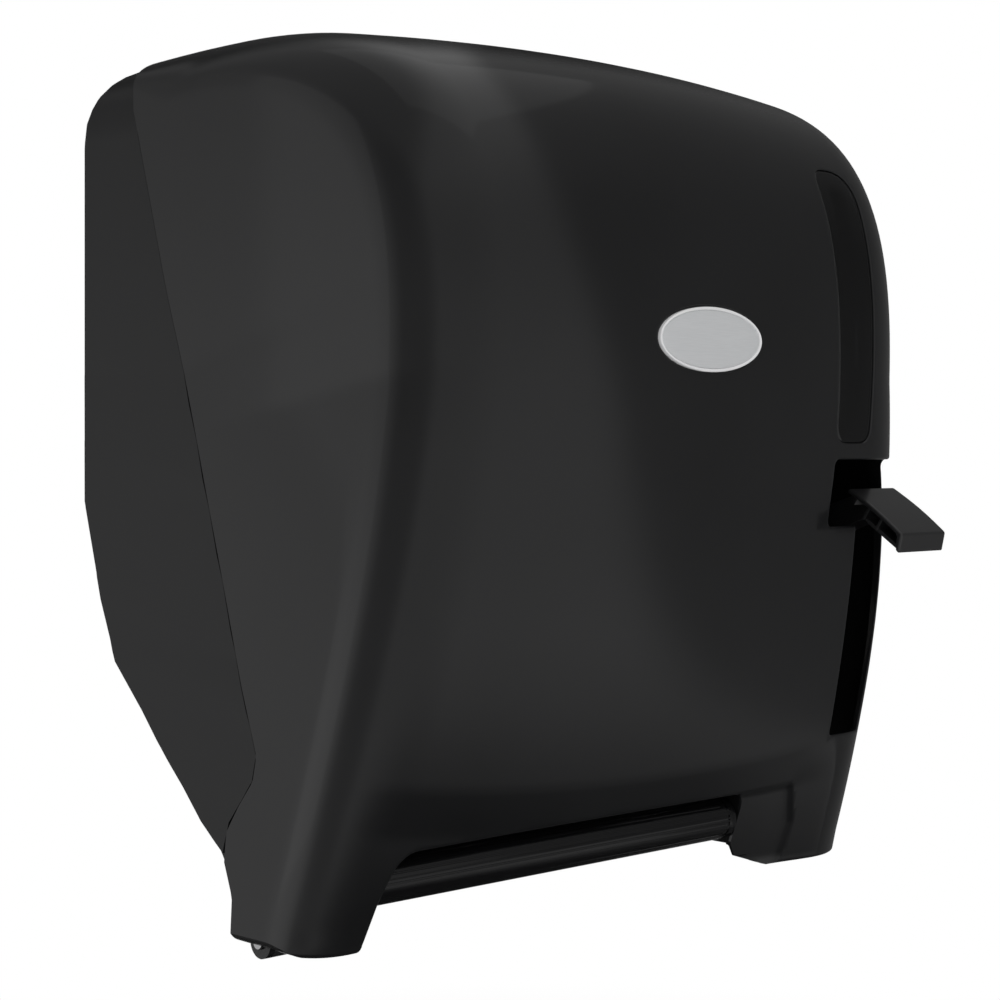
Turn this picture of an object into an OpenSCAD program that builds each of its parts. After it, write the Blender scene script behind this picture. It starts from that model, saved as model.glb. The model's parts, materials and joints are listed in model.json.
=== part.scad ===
// Wall-hung roll towel dispenser, worked by a lever.
// Millimetres. X runs across, -Y is the front, Z is up. The origin is the middle of the
// flat that lies on the wall; the shapes are drawn above the feet and hung from there.

/* [Cover] */
// Width of the body where it meets the wall
body_w = 354; // [350:1:372]
// Height of the rear top edge above the feet
crown_z = 395; // [390:1:402]
// Height of the furthest bulge of the front
bulge_z = 260; // [250:1:268]
// Depth of the front at the bulge
front_d = 231; // [228:1:240]
// Depth of the front at the level of the feet
foot_d = 168; // [166:1:172]
// Depth of the chin, where the front falls back to the feet
chin_d = 201; // [198:1:206]
// Depth of the cover's rear edge at the top
rear_d = 37; // [35:1:40]
// Thickness of the moulded cover
wall = 3; // [2.6:0.1:3.4]
// Roundness of the edges between front, top and sides
corner_r = 36; // [32:1:38]
// Reach of the top before it turns down
crown_reach = 133; // [124:1:138]
// Rise of the shoulder above the bulge
shoulder_rise = 130; // [124:1:132]
// Fall of the corners behind the middle of the front
corner_back = 4; // [3:0.5:6]
// How far the corners stand ahead of the middle at the feet
foot_flare = 7; // [5:0.5:9]

/* [Paper exit] */
// Left side of the exit at its top
exit_left = -137; // [-139:1:-136]
// Right side of the exit
exit_right = 84; // [83:1:86]
// Height of the exit
exit_top = 41; // [40:0.5:42]
// How far the left side slants out towards the floor
exit_spread = 12; // [10:1:13]
// Radius of the guard roller in the exit
guard_r = 10.5; // [10:0.1:11]
// How far the guard roller's axis lies ahead of the tear blade
guard_ahead = 17; // [16:0.5:19]
// Height of the guard roller's axis
guard_z = 28; // [27:0.5:28.5]
// Radius of the guard roller's rod
guard_rod_r = 3; // [2.5:0.5:3.5]
// Depth of the tear blade
blade_d = 149; // [147:0.5:150]
// Spacing of the blade's teeth
blade_pitch = 5; // [4:1:7]

/* [Window and badge] */
// Left side of the sight window
window_x = 94; // [90:1:96]
// Width of the sight window
window_w = 31; // [26:1:34]
// Lowest point of the sight window
window_z = 212; // [210:1:215]
// Length of the sight window
window_h = 132; // [120:1:134]
// Middle of the badge across the front
badge_x = 1.5; // [-5:0.5:5]
// Width of the badge
badge_w = 68; // [50:1:80]
// Height of the badge
badge_h = 29; // [20:1:40]

/* [Lever] */
// Distance of the paddle from the side of the body
paddle_in = 19; // [18:1:20]
// Width of the paddle
paddle_w = 36; // [34:1:37]
// Depth of the lever's pivot
lever_d = 105; // [104:1:106]
// Height of the lever's pivot
lever_z = 144; // [143:1:146]
// Radius of the lever's shaft
lever_shaft_r = 5; // [4:0.5:5.5]
// Width of the lever's arm
arm_w = 16; // [12:1:16]
// Width of the slot for the arm
slot_w = 28; // [26:1:29]
// Foot of the slot
slot_z = 66; // [62:1:68]
// Lower edge of the wide recess above the slot
recess_z = 172; // [168:1:174]
// Height of the wide recess
recess_h = 32; // [30:1:33]

/* [Rollers and gears] */
// Radius of the feed roller's rubber sleeves
feed_r = 16; // [15:0.5:17]
// Radius of the pressure roller
press_r = 9; // [8:0.5:10]
// Radius of the roller shafts
shaft_r = 4; // [3:0.5:4.5]
// Size of the gear teeth (module)
tooth_m = 1.5; // [1.48:0.01:1.52]
// Thickness of the gears
gear_w = 8; // [6:0.5:9]
// Thickness of the side frames
frame_t = 3; // [2.5:0.5:3.5]

/* [Towel roll] */
// Width of the bay for the roll
bay_w = 208; // [200:1:210]
// Middle of the bay
bay_x = -20; // [-21:1:-19]
// Depth of the roll's axis
roll_d = 118; // [114:1:120]
// Height of the roll's axis
roll_z = 254; // [250:1:258]
// Radius of the plugs in the roll's core
plug_r = 18; // [16:0.5:19]

/* [Wall fixing] */
// Spacing of the wall holes across
hole_dx = 240; // [220:1:246]
// Spacing of the wall holes in height
hole_dz = 120; // [100:1:124]
// Radius of the wall holes
hole_r = 2.75; // [2.5:0.05:3.5]

/* [Lock and hinge] */
// Depth of the lock in the top
lock_d = 64; // [60:1:68]
// Radius of the lock's barrel
lock_r = 9; // [8:0.5:10]
// Depth of the cover's hinge line
hinge_d = 134; // [133:0.5:135]
// Height of the cover's hinge line above the feet
hinge_z = 2; // [2:0.5:3]
// Radius of the hinge pins
pin_r = 3; // [2.5:0.25:3.25]

/* [Hidden] */
$fn = 48;

black = [0.13, 0.13, 0.14];
soft_black = [0.17, 0.17, 0.18];
steel = [0.70, 0.71, 0.73];
white = [0.88, 0.88, 0.86];
rubber = [0.22, 0.22, 0.22];

// Fits
gap = 0.3;       // between parts that pass one another
run_fit = 0.05;  // round a turning shaft
seam_gap = 0.8;  // between cover and housing along their seam

// The flat on the wall runs from flat_low to flat_high; its middle is the origin.
flat_low = 185;
flat_high = 349;
plate_z = (flat_low + flat_high) / 2;

// Front outline of the cover, from the rear top edge to the feet: [depth, height]
crown_rise = 12;
bulge_drop = 80;
chin_z = 84;
corner_low = 7;
shoulder_low = 18;
top_mid = [[rear_d, crown_z], [rear_d + crown_reach, crown_z + crown_rise],
    [front_d, bulge_z + shoulder_rise], [front_d, bulge_z]];
low_mid = [[front_d, bulge_z], [front_d, bulge_z - bulge_drop], [chin_d, chin_z], [foot_d, 0]];
top_side = [for (i = [0:3])
    top_mid[i] - [i > 0 ? corner_back : 0, [corner_low, corner_low, shoulder_low, 0][i]]];
low_side = [low_mid[0] - [corner_back, 0], low_mid[1] - [corner_back, 0], low_mid[2] + [foot_flare - 2, 4],
    low_mid[3] + [foot_flare, 0]];
ribs_up = 14;
ribs_down = 22;

// Draft of the sides: how much narrower per millimetre of depth, above and at the feet
draft_top = 0.085;
draft_foot = -0.017;
draft_z = 244;

// Seam between cover and housing, seen from the side: [height, depth]
seam_top = 364;
tip_z = 80;
seam_line = [[0, 119], [20, 119], [34, 114], [54, 116], [60, 124], [68, 130], [tip_z, 132],
    [110, 119], [189, 91], [282, 60], [seam_top, rear_d]];

// Housing seen from the side: back, slanted underside: [depth, height]
under = [[0, flat_low], [13, 140], [25, 112], [68, 71], [94, 48], [111, 36.5]];

// Feed and gear train: the pinion sits straight below the lever's gear
pinion_teeth = 18;
sector_teeth = 96;
gear_reach = (pinion_teeth + sector_teeth) * tooth_m / 2;
feed_d = 130;
feed_z = lever_z - sqrt(pow(gear_reach, 2) - pow(feed_d - lever_d, 2));
mesh_angle = atan2(feed_z - lever_z, feed_d - lever_d);
press_angle = 188;
press_reach = feed_r + press_r + gap;
press_d = feed_d + press_reach * cos(press_angle);
press_z = feed_z + press_reach * sin(press_angle);
yoke_d = 92;
yoke_z = 104;

// Places across the body
paddle_x = body_w / 2 - paddle_in - paddle_w;
guard_d = blade_d + guard_ahead;
bay_left = bay_x - bay_w / 2;
bay_right = bay_x + bay_w / 2;
frame_left_x = bay_left - 14 - frame_t;
frame_right_x = bay_right + 9;
gears_x = frame_right_x + frame_t + 3;
plate_x = gears_x + gear_w + 5;
plate_t = 3;
arm_x = paddle_x + (paddle_w - arm_w) / 2 + 5;
slot_mid = arm_x + arm_w / 2 + 1;
hub_r = 12;
boss_h = 6;
flange_d = wall + boss_h;
holder_t = 2.5;
blade_t = 0.8;
lug_t = 3;
knuckle_w = 8;
knuckle_r = 7;
foot_mid = (body_w / 2 + abs(exit_left)) / 2 + 10;

// Functions ---------------------------------------------------------------

function bez(p, t) = pow(1 - t, 3) * p[0] + 3 * t * pow(1 - t, 2) * p[1]
    + 3 * t * t * (1 - t) * p[2] + pow(t, 3) * p[3];

function curve(p, n) = [for (i = [0:n]) bez(p, i / n)];

function outline(up, down) = concat(curve(up, ribs_up), [for (i = [1:ribs_down])
    bez(down, i / ribs_down)]);

// An outline moved inwards by t
function inset(p, t) = [for (i = [0:len(p) - 1])
    let (q = p[min(i + 1, len(p) - 1)] - p[max(i - 1, 0)])
    p[i] + t * [q.y, -q.x] / norm(q)];

function draft(z) = draft_foot + (draft_top - draft_foot) * min(1, max(0, z / draft_z));

function half_w(d, z) = body_w / 2 - draft(z) * d;

function seam_d(z) = lookup(z, seam_line);

// Rear end of each rib: down the seam to its tip, then round the tip to the feet
function seam_rib(i, count, last) = let (z = i < count
    ? seam_top + (tip_z - seam_top) * i / (count - 1)
    : tip_z * pow((last - i) / (last + 1 - count), 0.8)) [seam_d(z), z];

// The seam as the cover's ribs meet it: [depth, height], from the top down
seam_sides = outline(top_side, low_side);
seam_ups = len([for (s = seam_sides) if (s.y > tip_z - 8) s]);
seam_points = [for (i = [0:len(seam_sides) - 1]) seam_rib(i, seam_ups, len(seam_sides) - 1)];

// Half a rib from the seam round the corner to the middle: [x, depth, height]
function half_rib(mid, side, rear, t, back) =
    let (p = [half_w(side.x, side.y) - t, side.x, side.y],
        c = [0, mid.x, mid.y],
        b = [half_w(rear.x, rear.y) - t, rear.x - back, rear.y],
        r = corner_r - t,
        f = 1 - r / p.x,
        a = p + (b - p) * min(0.6, r / norm(b - p)),
        g = c + [p.x * f, (p.y - c.y) * f * f, (p.z - c.z) * f * f])
    concat([b, (a + b) / 2],
        [for (k = [0:8]) let (s = k / 8) pow(1 - s, 2) * a + 2 * s * (1 - s) * p + s * s * g],
        [for (k = [7:-1:0]) let (s = f * k / 8) c + [p.x * s, (p.y - c.y) * s * s, (p.z - c.z) * s * s]]);

function mirrored(h) = [for (i = [len(h) - 2:-1:0]) [-h[i].x, h[i].y, h[i].z]];

// Involute tooth, centred on the X axis of a gear
function inv(rb, r) = sqrt(pow(r / rb, 2) - 1) * 180 / PI - acos(rb / r);

function tooth(teeth, m, slack) =
    let (rp = m * teeth / 2, rb = rp * cos(20), ra = rp + 0.9 * m, rr = rp - 1.25 * m,
        r0 = max(rb, rr),
        half = 90 / teeth - slack / rp * 90 / PI + inv(rb, rp),
        side = [for (k = [0:4]) let (r = r0 + (ra - r0) * k / 4) [r, half - inv(rb, r)]])
    concat([[rr - 0.3, half - inv(rb, r0)]], side);

// Helpers -----------------------------------------------------------------

// Hangs a shape drawn above the feet from the middle of the wall flat
module hung() {
    translate([0, 0, -plate_z]) children();
}

// Carries a side view, drawn as [depth, height], across the body
module slab(x, w) {
    translate([x, 0, 0]) rotate([90, 0, 90]) mirror([1, 0, 0]) linear_extrude(w) children();
}

// Carries a front view, drawn as [x, height], from one depth to another
module through(d0, d1) {
    translate([0, -d0, 0]) rotate([90, 0, 0]) linear_extrude(d1 - d0) children();
}

// A round bar across the body
module bar(x, w, d, z, r) {
    translate([x, -d, z]) rotate([0, 90, 0]) cylinder(h = w, r = r);
}

// A round bar that points forwards
module stud(x, z, d, len, r) {
    translate([x, -d, z]) rotate([90, 0, 0]) cylinder(h = len, r = r);
}

module ring(x, w, d, z, r, bore) {
    difference() {
        bar(x, w, d, z, r);
        bar(x - 1, w + 2, d, z, bore);
    }
}

// A box between two corners: [x, depth, height]
module block(a, b) {
    translate([a.x, -b.y, a.z]) cube([b.x - a.x, b.y - a.y, b.z - a.z]);
}

// Pan-head screw that is driven from the front
module pan_screw(x, z, d) {
    stud(x, z, d, 2.5, 3.6);
    stud(x, z, d - 9, 9.5, 1.9);
}

// Round wire along a list of points
module wire(points, r, sides = 6) {
    n = len(points);
    function way(i) = let (v = points[min(i + 1, n - 1)] - points[max(i - 1, 0)]) v / norm(v);
    rings = [for (i = [0:n - 1])
        let (w = way(i), u0 = cross(w, [1, 0.02, 0.03]), u = u0 / norm(u0), v = cross(w, u))
        [for (k = [0:sides - 1]) points[i] + r * (cos(360 * k / sides) * u + sin(360 * k / sides) * v)]];
    polyhedron([for (q = rings) each q], concat(
        [[for (k = [sides - 1:-1:0]) k]],
        [[for (k = [0:sides - 1]) (n - 1) * sides + k]],
        [for (i = [0:n - 2]) for (k = [0:sides - 1])
            let (a = i * sides + k, b = i * sides + (k + 1) % sides)
            each [[a, b, b + sides], [a, b + sides, a + sides]]]));
}

// Coil of turns round an axis across the body, with a straight leg at each end
module torsion_spring(x, w, d, z, r, wire_r, turns, from, leg) {
    steps = 14 * turns;
    sweep = 360 * turns;
    coil = [for (i = [0:steps]) let (a = from + sweep * i / steps)
        [x + wire_r + (w - 2 * wire_r) * i / steps, -d - r * cos(a), z + r * sin(a)]];
    first = coil[0] + leg * [0, -sin(from), -cos(from)];
    last = coil[steps] + leg * [0, sin(from + sweep), cos(from + sweep)];
    wire(concat([first], coil, [last]), wire_r);
}

module gear2d(teeth, m, slack, first, last) {
    side = tooth(teeth, m, slack);
    for (k = [first:last]) {
        turn = 360 * k / teeth;
        polygon(concat([for (s = side) s.x * [cos(turn - s.y), sin(turn - s.y)]],
            [for (i = [len(side) - 1:-1:0]) side[i].x * [cos(turn + side[i].y), sin(turn + side[i].y)]]));
    }
}

// The closed form of the cover at an inset of t; back opens it behind the seam
module body_form(t, back = 0) {
    mids = inset(outline(top_mid, low_mid), t);
    sides = inset(outline(top_side, low_side), t);
    rows = [for (i = [0:len(mids) - 1])
        let (h = half_rib(mids[i] - [i == 0 ? back : 0, 0], sides[i] - [i == 0 ? back : 0, 0],
            seam_points[i], t, back)) concat(h, mirrored(h))];
    w = len(rows[0]);
    n = len(rows);
    polyhedron([for (r = rows) for (p = r) [p.x, -p.y, p.z]], concat(
        [[for (k = [0:w - 1]) k]], [[for (k = [w - 1:-1:0]) (n - 1) * w + k]],
        [for (i = [0:n - 2]) for (k = [0:w - 1]) let (a = i * w + k, b = i * w + (k + 1) % w)
            each [[a, a + w, b + w], [a, b + w, b]]]));
}

module window_outline(grow) {
    x0 = window_x;
    x1 = window_x + window_w;
    top = window_z + window_h;
    pts = concat(
        curve([[x0, top - 11], [x0, top - 2], [x0 + 4, top], [x0 + 11, top]], 6),
        curve([[x1 - 13, top], [x1 - 4, top - 1], [x1, top - 14], [x1, top - 28]], 6),
        curve([[x1 - 1.5, window_z + 14], [x1 - 2, window_z + 4], [x1 - 7, window_z],
            [x0 + 17, window_z]], 6),
        curve([[x0 + 15.5, window_z], [x0 + 7, window_z], [x0 + 3, window_z + 6],
            [x0 + 2.3, window_z + 28]], 6));
    offset(r = grow) polygon(pts);
}

module exit_outline(reach) {
    left = exit_left - exit_spread;
    polygon(concat([[left - exit_spread * reach / exit_top, -reach], [exit_right, -reach]],
        [for (a = [0:15:90]) [exit_right - 8 + 8 * cos(a), exit_top - 8 + 8 * sin(a)]],
        curve([[exit_left + 13, exit_top], [exit_left + 2, exit_top], [exit_edge(exit_top - 6), exit_top - 6],
            [exit_edge(exit_top - 15), exit_top - 15]], 6)));
}

function exit_edge(z) = exit_left - exit_spread * (exit_top - z) / exit_top;

module slot_outline() {
    x0 = paddle_x - 24;
    x1 = paddle_x + paddle_w + 3;
    left = slot_mid - slot_w / 2;
    offset(r = 3) offset(delta = -3) {
        polygon([[left - 12, recess_z + 6], [left + 1, slot_z], [left + slot_w, slot_z],
            [left + slot_w, recess_z + 6]]);
        translate([x0, recess_z]) square([x1 - x0, recess_h]);
    }
}

// Cover -------------------------------------------------------------------

module front_cover() {
    floor_t = 3;
    color(black) difference() {
        union() {
            resize([0, 0, 0]) difference() {
                body_form(0);
                difference() {
                    body_form(wall, 2);
                    block([-body_w, 0, -1], [body_w, front_d + 20, floor_t]);
                    // Inner walls of the feet
                    difference() {
                        through(hinge_d - 13, front_d) polygon([[exit_edge(-1) - wall, -1],
                            [exit_edge(-1), -1], [exit_edge(exit_top + wall), exit_top + wall],
                            [exit_edge(exit_top + wall) - wall, exit_top + wall]]);
                        bar(exit_left - 30, 60, guard_d, guard_z, guard_r + 0.6);
                    }
                    block([rod_x0, guard_d - 14, -1], [rod_x0 + wall, front_d, exit_top + wall]);
                    slab(exit_right, wall) polygon([[front_d, -1], [foot_d + 8, -1], [guard_d + 8, 5],
                        [guard_d + 2, guard_z - 13], [guard_d - 9, guard_z - 13], [guard_d - 14, guard_z - 8],
                        [guard_d - 14, exit_top + wall], [front_d, exit_top + wall]]);
                }
                through(60, front_d + 9) exit_outline(1);
                // The sole beside the exit is open
                block([exit_right, hinge_d - 20, -1], [foot_mid - 26, foot_d - 4, floor_t + 2]);
                through(150, front_d + 9) slot_outline();
                through(150, front_d + 9) window_outline(0);
                translate([badge_x, 0, badge_z()]) through(front_d - 0.8, front_d + 9)
                    oval(badge_w + 1, badge_h + 1);
                // Clearance round the hinge brackets
                for (s = [-1, 1]) block([s * foot_mid - knuckle_w / 2 - lug_t - 1, 60, -1],
                    [s * foot_mid + knuckle_w / 2 + lug_t + 1, hinge_d + 12, 16]);
            }
            // Lugs of the hinge, with a web to the floor of each foot
            for (s = [-1, 1]) for (k = [-1, 1]) hinge_lug(s * foot_mid + k * (knuckle_w + lug_t + gap) / 2);
        }
        for (s = [-1, 1]) bar(s * foot_mid - 9, 18, hinge_d, hinge_z, pin_r + run_fit);
        bar(rod_x0 - 1, exit_right + wall - rod_x0 + 2, guard_d, guard_z, guard_rod_r);
        up(crown_z - 40) cylinder(h = 80, r = lock_r);
        up(lock_top - 0.2) cylinder(h = 20, r = lock_r + 2.3);
    }
}

module hinge_lug(x) {
    slab(x - lug_t / 2, lug_t) polygon(concat([for (a = [150:15:390])
        [hinge_d, hinge_z] + knuckle_r * [cos(a), sin(a)]], [[hinge_d + 16, 2], [hinge_d + 16, 16],
        [hinge_d + 12, 16], [hinge_d + 3, 12]]));
}

function badge_z() = bulge_z - 2;

module sight_window() {
    sink = 0.7;
    lens_t = 2.5;
    color([0.25, 0.26, 0.30]) resize([0, 0, 0]) union() {
        intersection() {
            difference() {
                body_form(sink);
                body_form(sink + lens_t + 0.2, 2);
            }
            through(150, front_d + 9) window_outline(-gap / 2);
        }
        intersection() {
            difference() {
                body_form(wall + 0.1);
                body_form(wall + 1.6, 2);
            }
            through(150, front_d + 9) window_outline(4);
        }
    }
}

module oval(w, h) {
    polygon([for (a = [0:7.5:359]) [w / 2 * cos(a), h / 2 * sin(a)]]);
}

module badge_plate() {
    color([0.75, 0.75, 0.76]) translate([badge_x, -front_d + 0.8, badge_z()]) rotate([90, 0, 0])
        linear_extrude(1.4) oval(badge_w - 3, badge_h - 3);
}

module badge_bezel() {
    color([0.9, 0.9, 0.9]) translate([badge_x, -front_d + 0.8, badge_z()]) rotate([90, 0, 0])
        linear_extrude(1.9) difference() {
            oval(badge_w, badge_h);
            oval(badge_w - 3, badge_h - 3);
        }
}

// Exit: guard roller and tear bar, carried by the cover's feet -------------

rod_x0 = exit_edge(0) - wall - 2;
guard_x0 = rod_x0 + wall + 0.5;
guard_x1 = exit_right - 6;
collar_w = 5;
guard_bore = guard_r - 1.6;
spigot = 8;

module guard_roller() {
    color(black) ring(guard_x0 + collar_w + gap, guard_x1 - guard_x0 - collar_w - 2 * gap, guard_d, guard_z,
        guard_r, guard_bore);
}

module guard_collars() {
    color(soft_black) for (way = [-1, 1]) difference() {
        x = way < 0 ? guard_x0 : guard_x1;
        union() {
            bar(x, collar_w, guard_d, guard_z, guard_r - 0.4);
            bar(way < 0 ? x : x - spigot, collar_w + spigot, guard_d, guard_z, guard_bore - run_fit);
        }
        bar(x - 20, 50, guard_d, guard_z, guard_rod_r);
    }
}

module guard_rod() {
    color(steel) bar(rod_x0, exit_right + wall - rod_x0, guard_d, guard_z, guard_rod_r);
}

holder_low = 19;
holder_high = 37;

module tear_bar_holder() {
    d0 = blade_d + blade_t;
    color(soft_black) difference() {
        intersection() {
            slab(exit_left - 40, exit_right - exit_left + 60) polygon([[d0, holder_low],
                [d0 + holder_t, holder_low], [d0 + holder_t, holder_high],
                [d0 - 6, holder_high], [d0 - 6, holder_high - holder_t], [d0, holder_high - holder_t]]);
            through(d0 - 20, d0 + 20) polygon([[exit_edge(0), 0], [exit_right, 0],
                [exit_right, exit_top], [exit_edge(exit_top), exit_top]]);
        }
        for (x = blade_screws()) stud(x, holder_low + 5, d0 - 1, 5, 1.9);
    }
}

function blade_screws() = [for (k = [-1, 0, 1]) (exit_left + exit_right) / 2 + 90 * k];

module tear_blade() {
    x0 = exit_left - 4;
    count = floor((exit_right - 2 - x0) / blade_pitch);
    low = holder_low - 2;
    high = holder_low + 10;
    color(steel) difference() {
        through(blade_d, blade_d + blade_t) polygon(concat(
            [for (k = [0:count - 1]) each [[x0 + k * blade_pitch, low],
                [x0 + (k + 0.5) * blade_pitch, low - 2.5]]],
            [[x0 + count * blade_pitch, low], [x0 + count * blade_pitch, high], [x0, high]]));
        for (x = blade_screws()) stud(x, holder_low + 5, blade_d - 1, 5, 1.9);
    }
}

module tear_bar_screws() {
    color(steel) for (x = blade_screws()) {
        stud(x, holder_low + 5, blade_d - 1.8, 1.8, 3.2);
        stud(x, holder_low + 5, blade_d - 0.5, holder_t + blade_t + 0.5, 1.9);
    }
}

// Housing -----------------------------------------------------------------

function rear_arc() = [for (i = [0:6]) let (t = i / 6)
    pow(1 - t, 2) * [0, flat_high] + 2 * t * (1 - t) * [0, crown_z - 6] + t * t * [rear_d, crown_z]];

// Side view of the housing, at an inset t from the back and a step before the seam
module housing_side(t, ahead) {
    back = inset(concat([for (i = [6:-1:0]) rear_arc()[i]], under), -t);
    seam = [for (i = [len(seam_points) - 1:-1:0]) if (seam_points[i].y > 50) seam_points[i] + [ahead, 0]];
    polygon(concat(back, [[112 + ahead, 38 + t], [115 + ahead, 50]], seam, [[rear_d + ahead, crown_z + 20]]));
}

// Widening block of the housing's sides and rounded top, at an inset t
module housing_block(t) {
    r = corner_r - t;
    depths = [-5, 160];
    function edge(d) = let (w = half_w(d, crown_z) - t, top = crown_z - corner_low - t)
        concat([for (z = [0:draft_z / 8:draft_z]) [half_w(d, z) - t, z]],
            [for (k = [0:8]) let (s = k / 8) pow(1 - s, 2) * [w, top - r] + 2 * s * (1 - s) * [w, top]
                + s * s * [w - r, top + 1.5]],
            [for (k = [1:4]) let (s = 1 - k / 4) [(w - r) * s, crown_z - t - (corner_low - 1.5) * s * s]]);
    h = edge(0);
    n = len(h);
    rows = [for (d = depths) let (e = edge(d)) concat([for (q = e) [q.x, -d, q.y]],
        [for (i = [n - 2:-1:0]) [-e[i].x, -d, e[i].y]])];
    w = len(rows[0]);
    polyhedron([for (r = rows) each r], concat([[for (k = [0:w - 1]) k]], [[for (k = [w - 1:-1:0]) w + k]],
        [for (k = [0:w - 1]) let (b = (k + 1) % w) each [[k, k + w, b + w], [k, b + w, b]]]));
}

module housing_form(t, back, ahead) {
    intersection() {
        housing_block(t);
        slab(-body_w, 2 * body_w) housing_side(back, ahead);
    }
}

function wall_holes() = [for (s = [-1, 1]) for (k = [-1, 1]) [s * hole_dx / 2, plate_z + k * hole_dz / 2]];

function frame_feet() = [for (x = [frame_left_x - 7, frame_right_x + frame_t + 7])
    for (z = [flat_low + 6, flat_low + 32]) [x, z]];

function keeper_feet() = [for (x = [14, 26]) [x, keeper_z + 8]];

module rear_housing() {
    lip = 7;
    color(soft_black) difference() {
        union() {
            resize([0, 0, 0]) union() {
                difference() {
                    housing_form(0.6, 0, -seam_gap);
                    housing_form(wall + 0.6, wall, 12);
                }
                // Lip that the cover closes over
                difference() {
                    union() {
                        housing_form(wall + 1, 0.2, lip);
                        housing_form(2, 0.2, -seam_gap);
                    }
                    housing_form(wall + 3.2, 2, lip + 12);
                    housing_form(-2, -2, -8);
                }
            }
            for (p = wall_holes()) stud(p.x, p.y, wall - 0.5, 2.5, 9);
            for (p = concat(frame_feet(), arm_feet(), keeper_feet()))
                stud(p.x, p.y, wall - 0.5, boss_h + 0.5, 5);
            for (z = [roll_z - 20, roll_z + 14]) arm_ear(z);
            for (s = [-1, 1]) hinge_seat(s * seat_mid);
        }
        for (p = wall_holes()) stud(p.x, p.y, -1, 12, hole_r);
        for (p = concat(frame_feet(), arm_feet(), keeper_feet())) stud(p.x, p.y, 2.5, 12, 1.9);
        translate([arm_pin_x, -arm_pin_d, roll_z - 40]) cylinder(h = 80, r = 2.5);
        for (s = [-1, 1]) for (k = [-1, 1]) seat_bar(s * seat_mid + k * hinge_screw_dx, -2, 7, 1.9);
    }
}

// Arms, plugs and their fixings --------------------------------------------

arm_t = 3;
arm_pin_d = 15;
arm_pin_x = bay_left - 9;
plug_len = 14;

function arm_feet() = [for (z = [roll_z - 12, roll_z + 12]) [bay_right + arm_t + 11, z]];

module arm_ear(z) {
    block([arm_pin_x - 6, wall - 0.5, z], [arm_pin_x + 6, arm_pin_d, z + 6]);
    translate([arm_pin_x, -arm_pin_d, z]) cylinder(h = 6, r = 6);
}

module arm_side() {
    difference() {
        hull() {
            translate([roll_d, roll_z]) circle(r = 20, $fn = 32);
            translate([arm_pin_d + 6, roll_z - 12]) square([2, 24]);
        }
        translate([roll_d, roll_z]) circle(r = 5);
        translate([roll_d - 46, roll_z]) circle(r = 7);
        translate([roll_d - 70, roll_z]) circle(r = 6);
    }
}

module roll_arm_left() {
    x = bay_left - arm_t;
    color(soft_black) difference() {
        union() {
            slab(x, arm_t) arm_side();
            translate([arm_pin_x, -arm_pin_d, roll_z - 13.7]) cylinder(h = 27.4, r = 5);
            block([arm_pin_x, arm_pin_d - 2, roll_z - 12], [x + arm_t, arm_pin_d + 8, roll_z + 12]);
        }
        translate([arm_pin_x, -arm_pin_d, roll_z - 40]) cylinder(h = 80, r = 2.5 + run_fit);
        block([arm_pin_x - 8, arm_pin_d - 12, roll_z - 7], [arm_pin_x + 5.5, arm_pin_d + 9, roll_z + 7]);
    }
}

module roll_arm_right() {
    color(soft_black) difference() {
        union() {
            slab(bay_right, arm_t) arm_side();
            block([bay_right, flange_d, roll_z - 18], [bay_right + arm_t + 18, flange_d + 3, roll_z + 18]);
            block([bay_right, flange_d, roll_z - 12], [bay_right + arm_t, arm_pin_d + 8, roll_z + 12]);
        }
        for (p = arm_feet()) stud(p.x, p.y, 2, 14, 1.9);
    }
}

module plug(x, way) {
    flange = way > 0 ? x + gap : x - gap - 2;
    nose = way > 0 ? x + gap + 1.9 : x - plug_len - gap - 1.9;
    difference() {
        union() {
            bar(flange, 2, roll_d, roll_z, plug_r + 5);
            bar(nose, plug_len, roll_d, roll_z, plug_r);
        }
        bar(x - 30, 60, roll_d, roll_z, 4 + run_fit);
        ring(way > 0 ? x + 5 : x - plug_len - 10, plug_len + 5, roll_d, roll_z, plug_r - 2.5, 7);
    }
}

module roll_plug_left() {
    color(white) plug(bay_left, 1);
}

module roll_plug_right() {
    color(white) plug(bay_right, -1);
}

module plug_axle(x, way) {
    reach = plug_len + arm_t + 4;
    bar(way > 0 ? x - arm_t : x - reach + arm_t, reach, roll_d, roll_z, 4);
    bar(way > 0 ? x - arm_t : x, arm_t, roll_d, roll_z, 5);
    bar(way > 0 ? x - arm_t - 2 : x + arm_t, 2, roll_d, roll_z, 7);
    bar(way > 0 ? x + reach - arm_t - 0.7 : x - reach + arm_t - 1, 1.7, roll_d, roll_z, 6);
}

module plug_axle_left() {
    color(steel) plug_axle(bay_left, 1);
}

module plug_axle_right() {
    color(steel) plug_axle(bay_right, -1);
}

module arm_pin() {
    color(steel) {
        translate([arm_pin_x, -arm_pin_d, roll_z - 20]) cylinder(h = 41, r = 2.5);
        translate([arm_pin_x, -arm_pin_d, roll_z + 20]) cylinder(h = 2, r = 4);
    }
}

module arm_spring() {
    color(steel) translate([arm_pin_x, -arm_pin_d, roll_z - 6]) rotate([0, -90, 0])
        torsion_spring(0, 12, 0, 0, 3.6, 0.5, 5, 20, 3);
}

// Lever and gears -----------------------------------------------------------

// The paddle at rest, from its back to its lip: [depth, height]
paddle_back = [214.5, 190.1];
paddle_tip = [246, 168.5];
paddle_t = 2.6;
lip_h = 9;
lip_lean = 3.6;

function on_paddle(along, under) = let (v = paddle_tip - paddle_back, w = v / norm(v))
    paddle_back + along * w + under * [w.y, -w.x];

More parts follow.
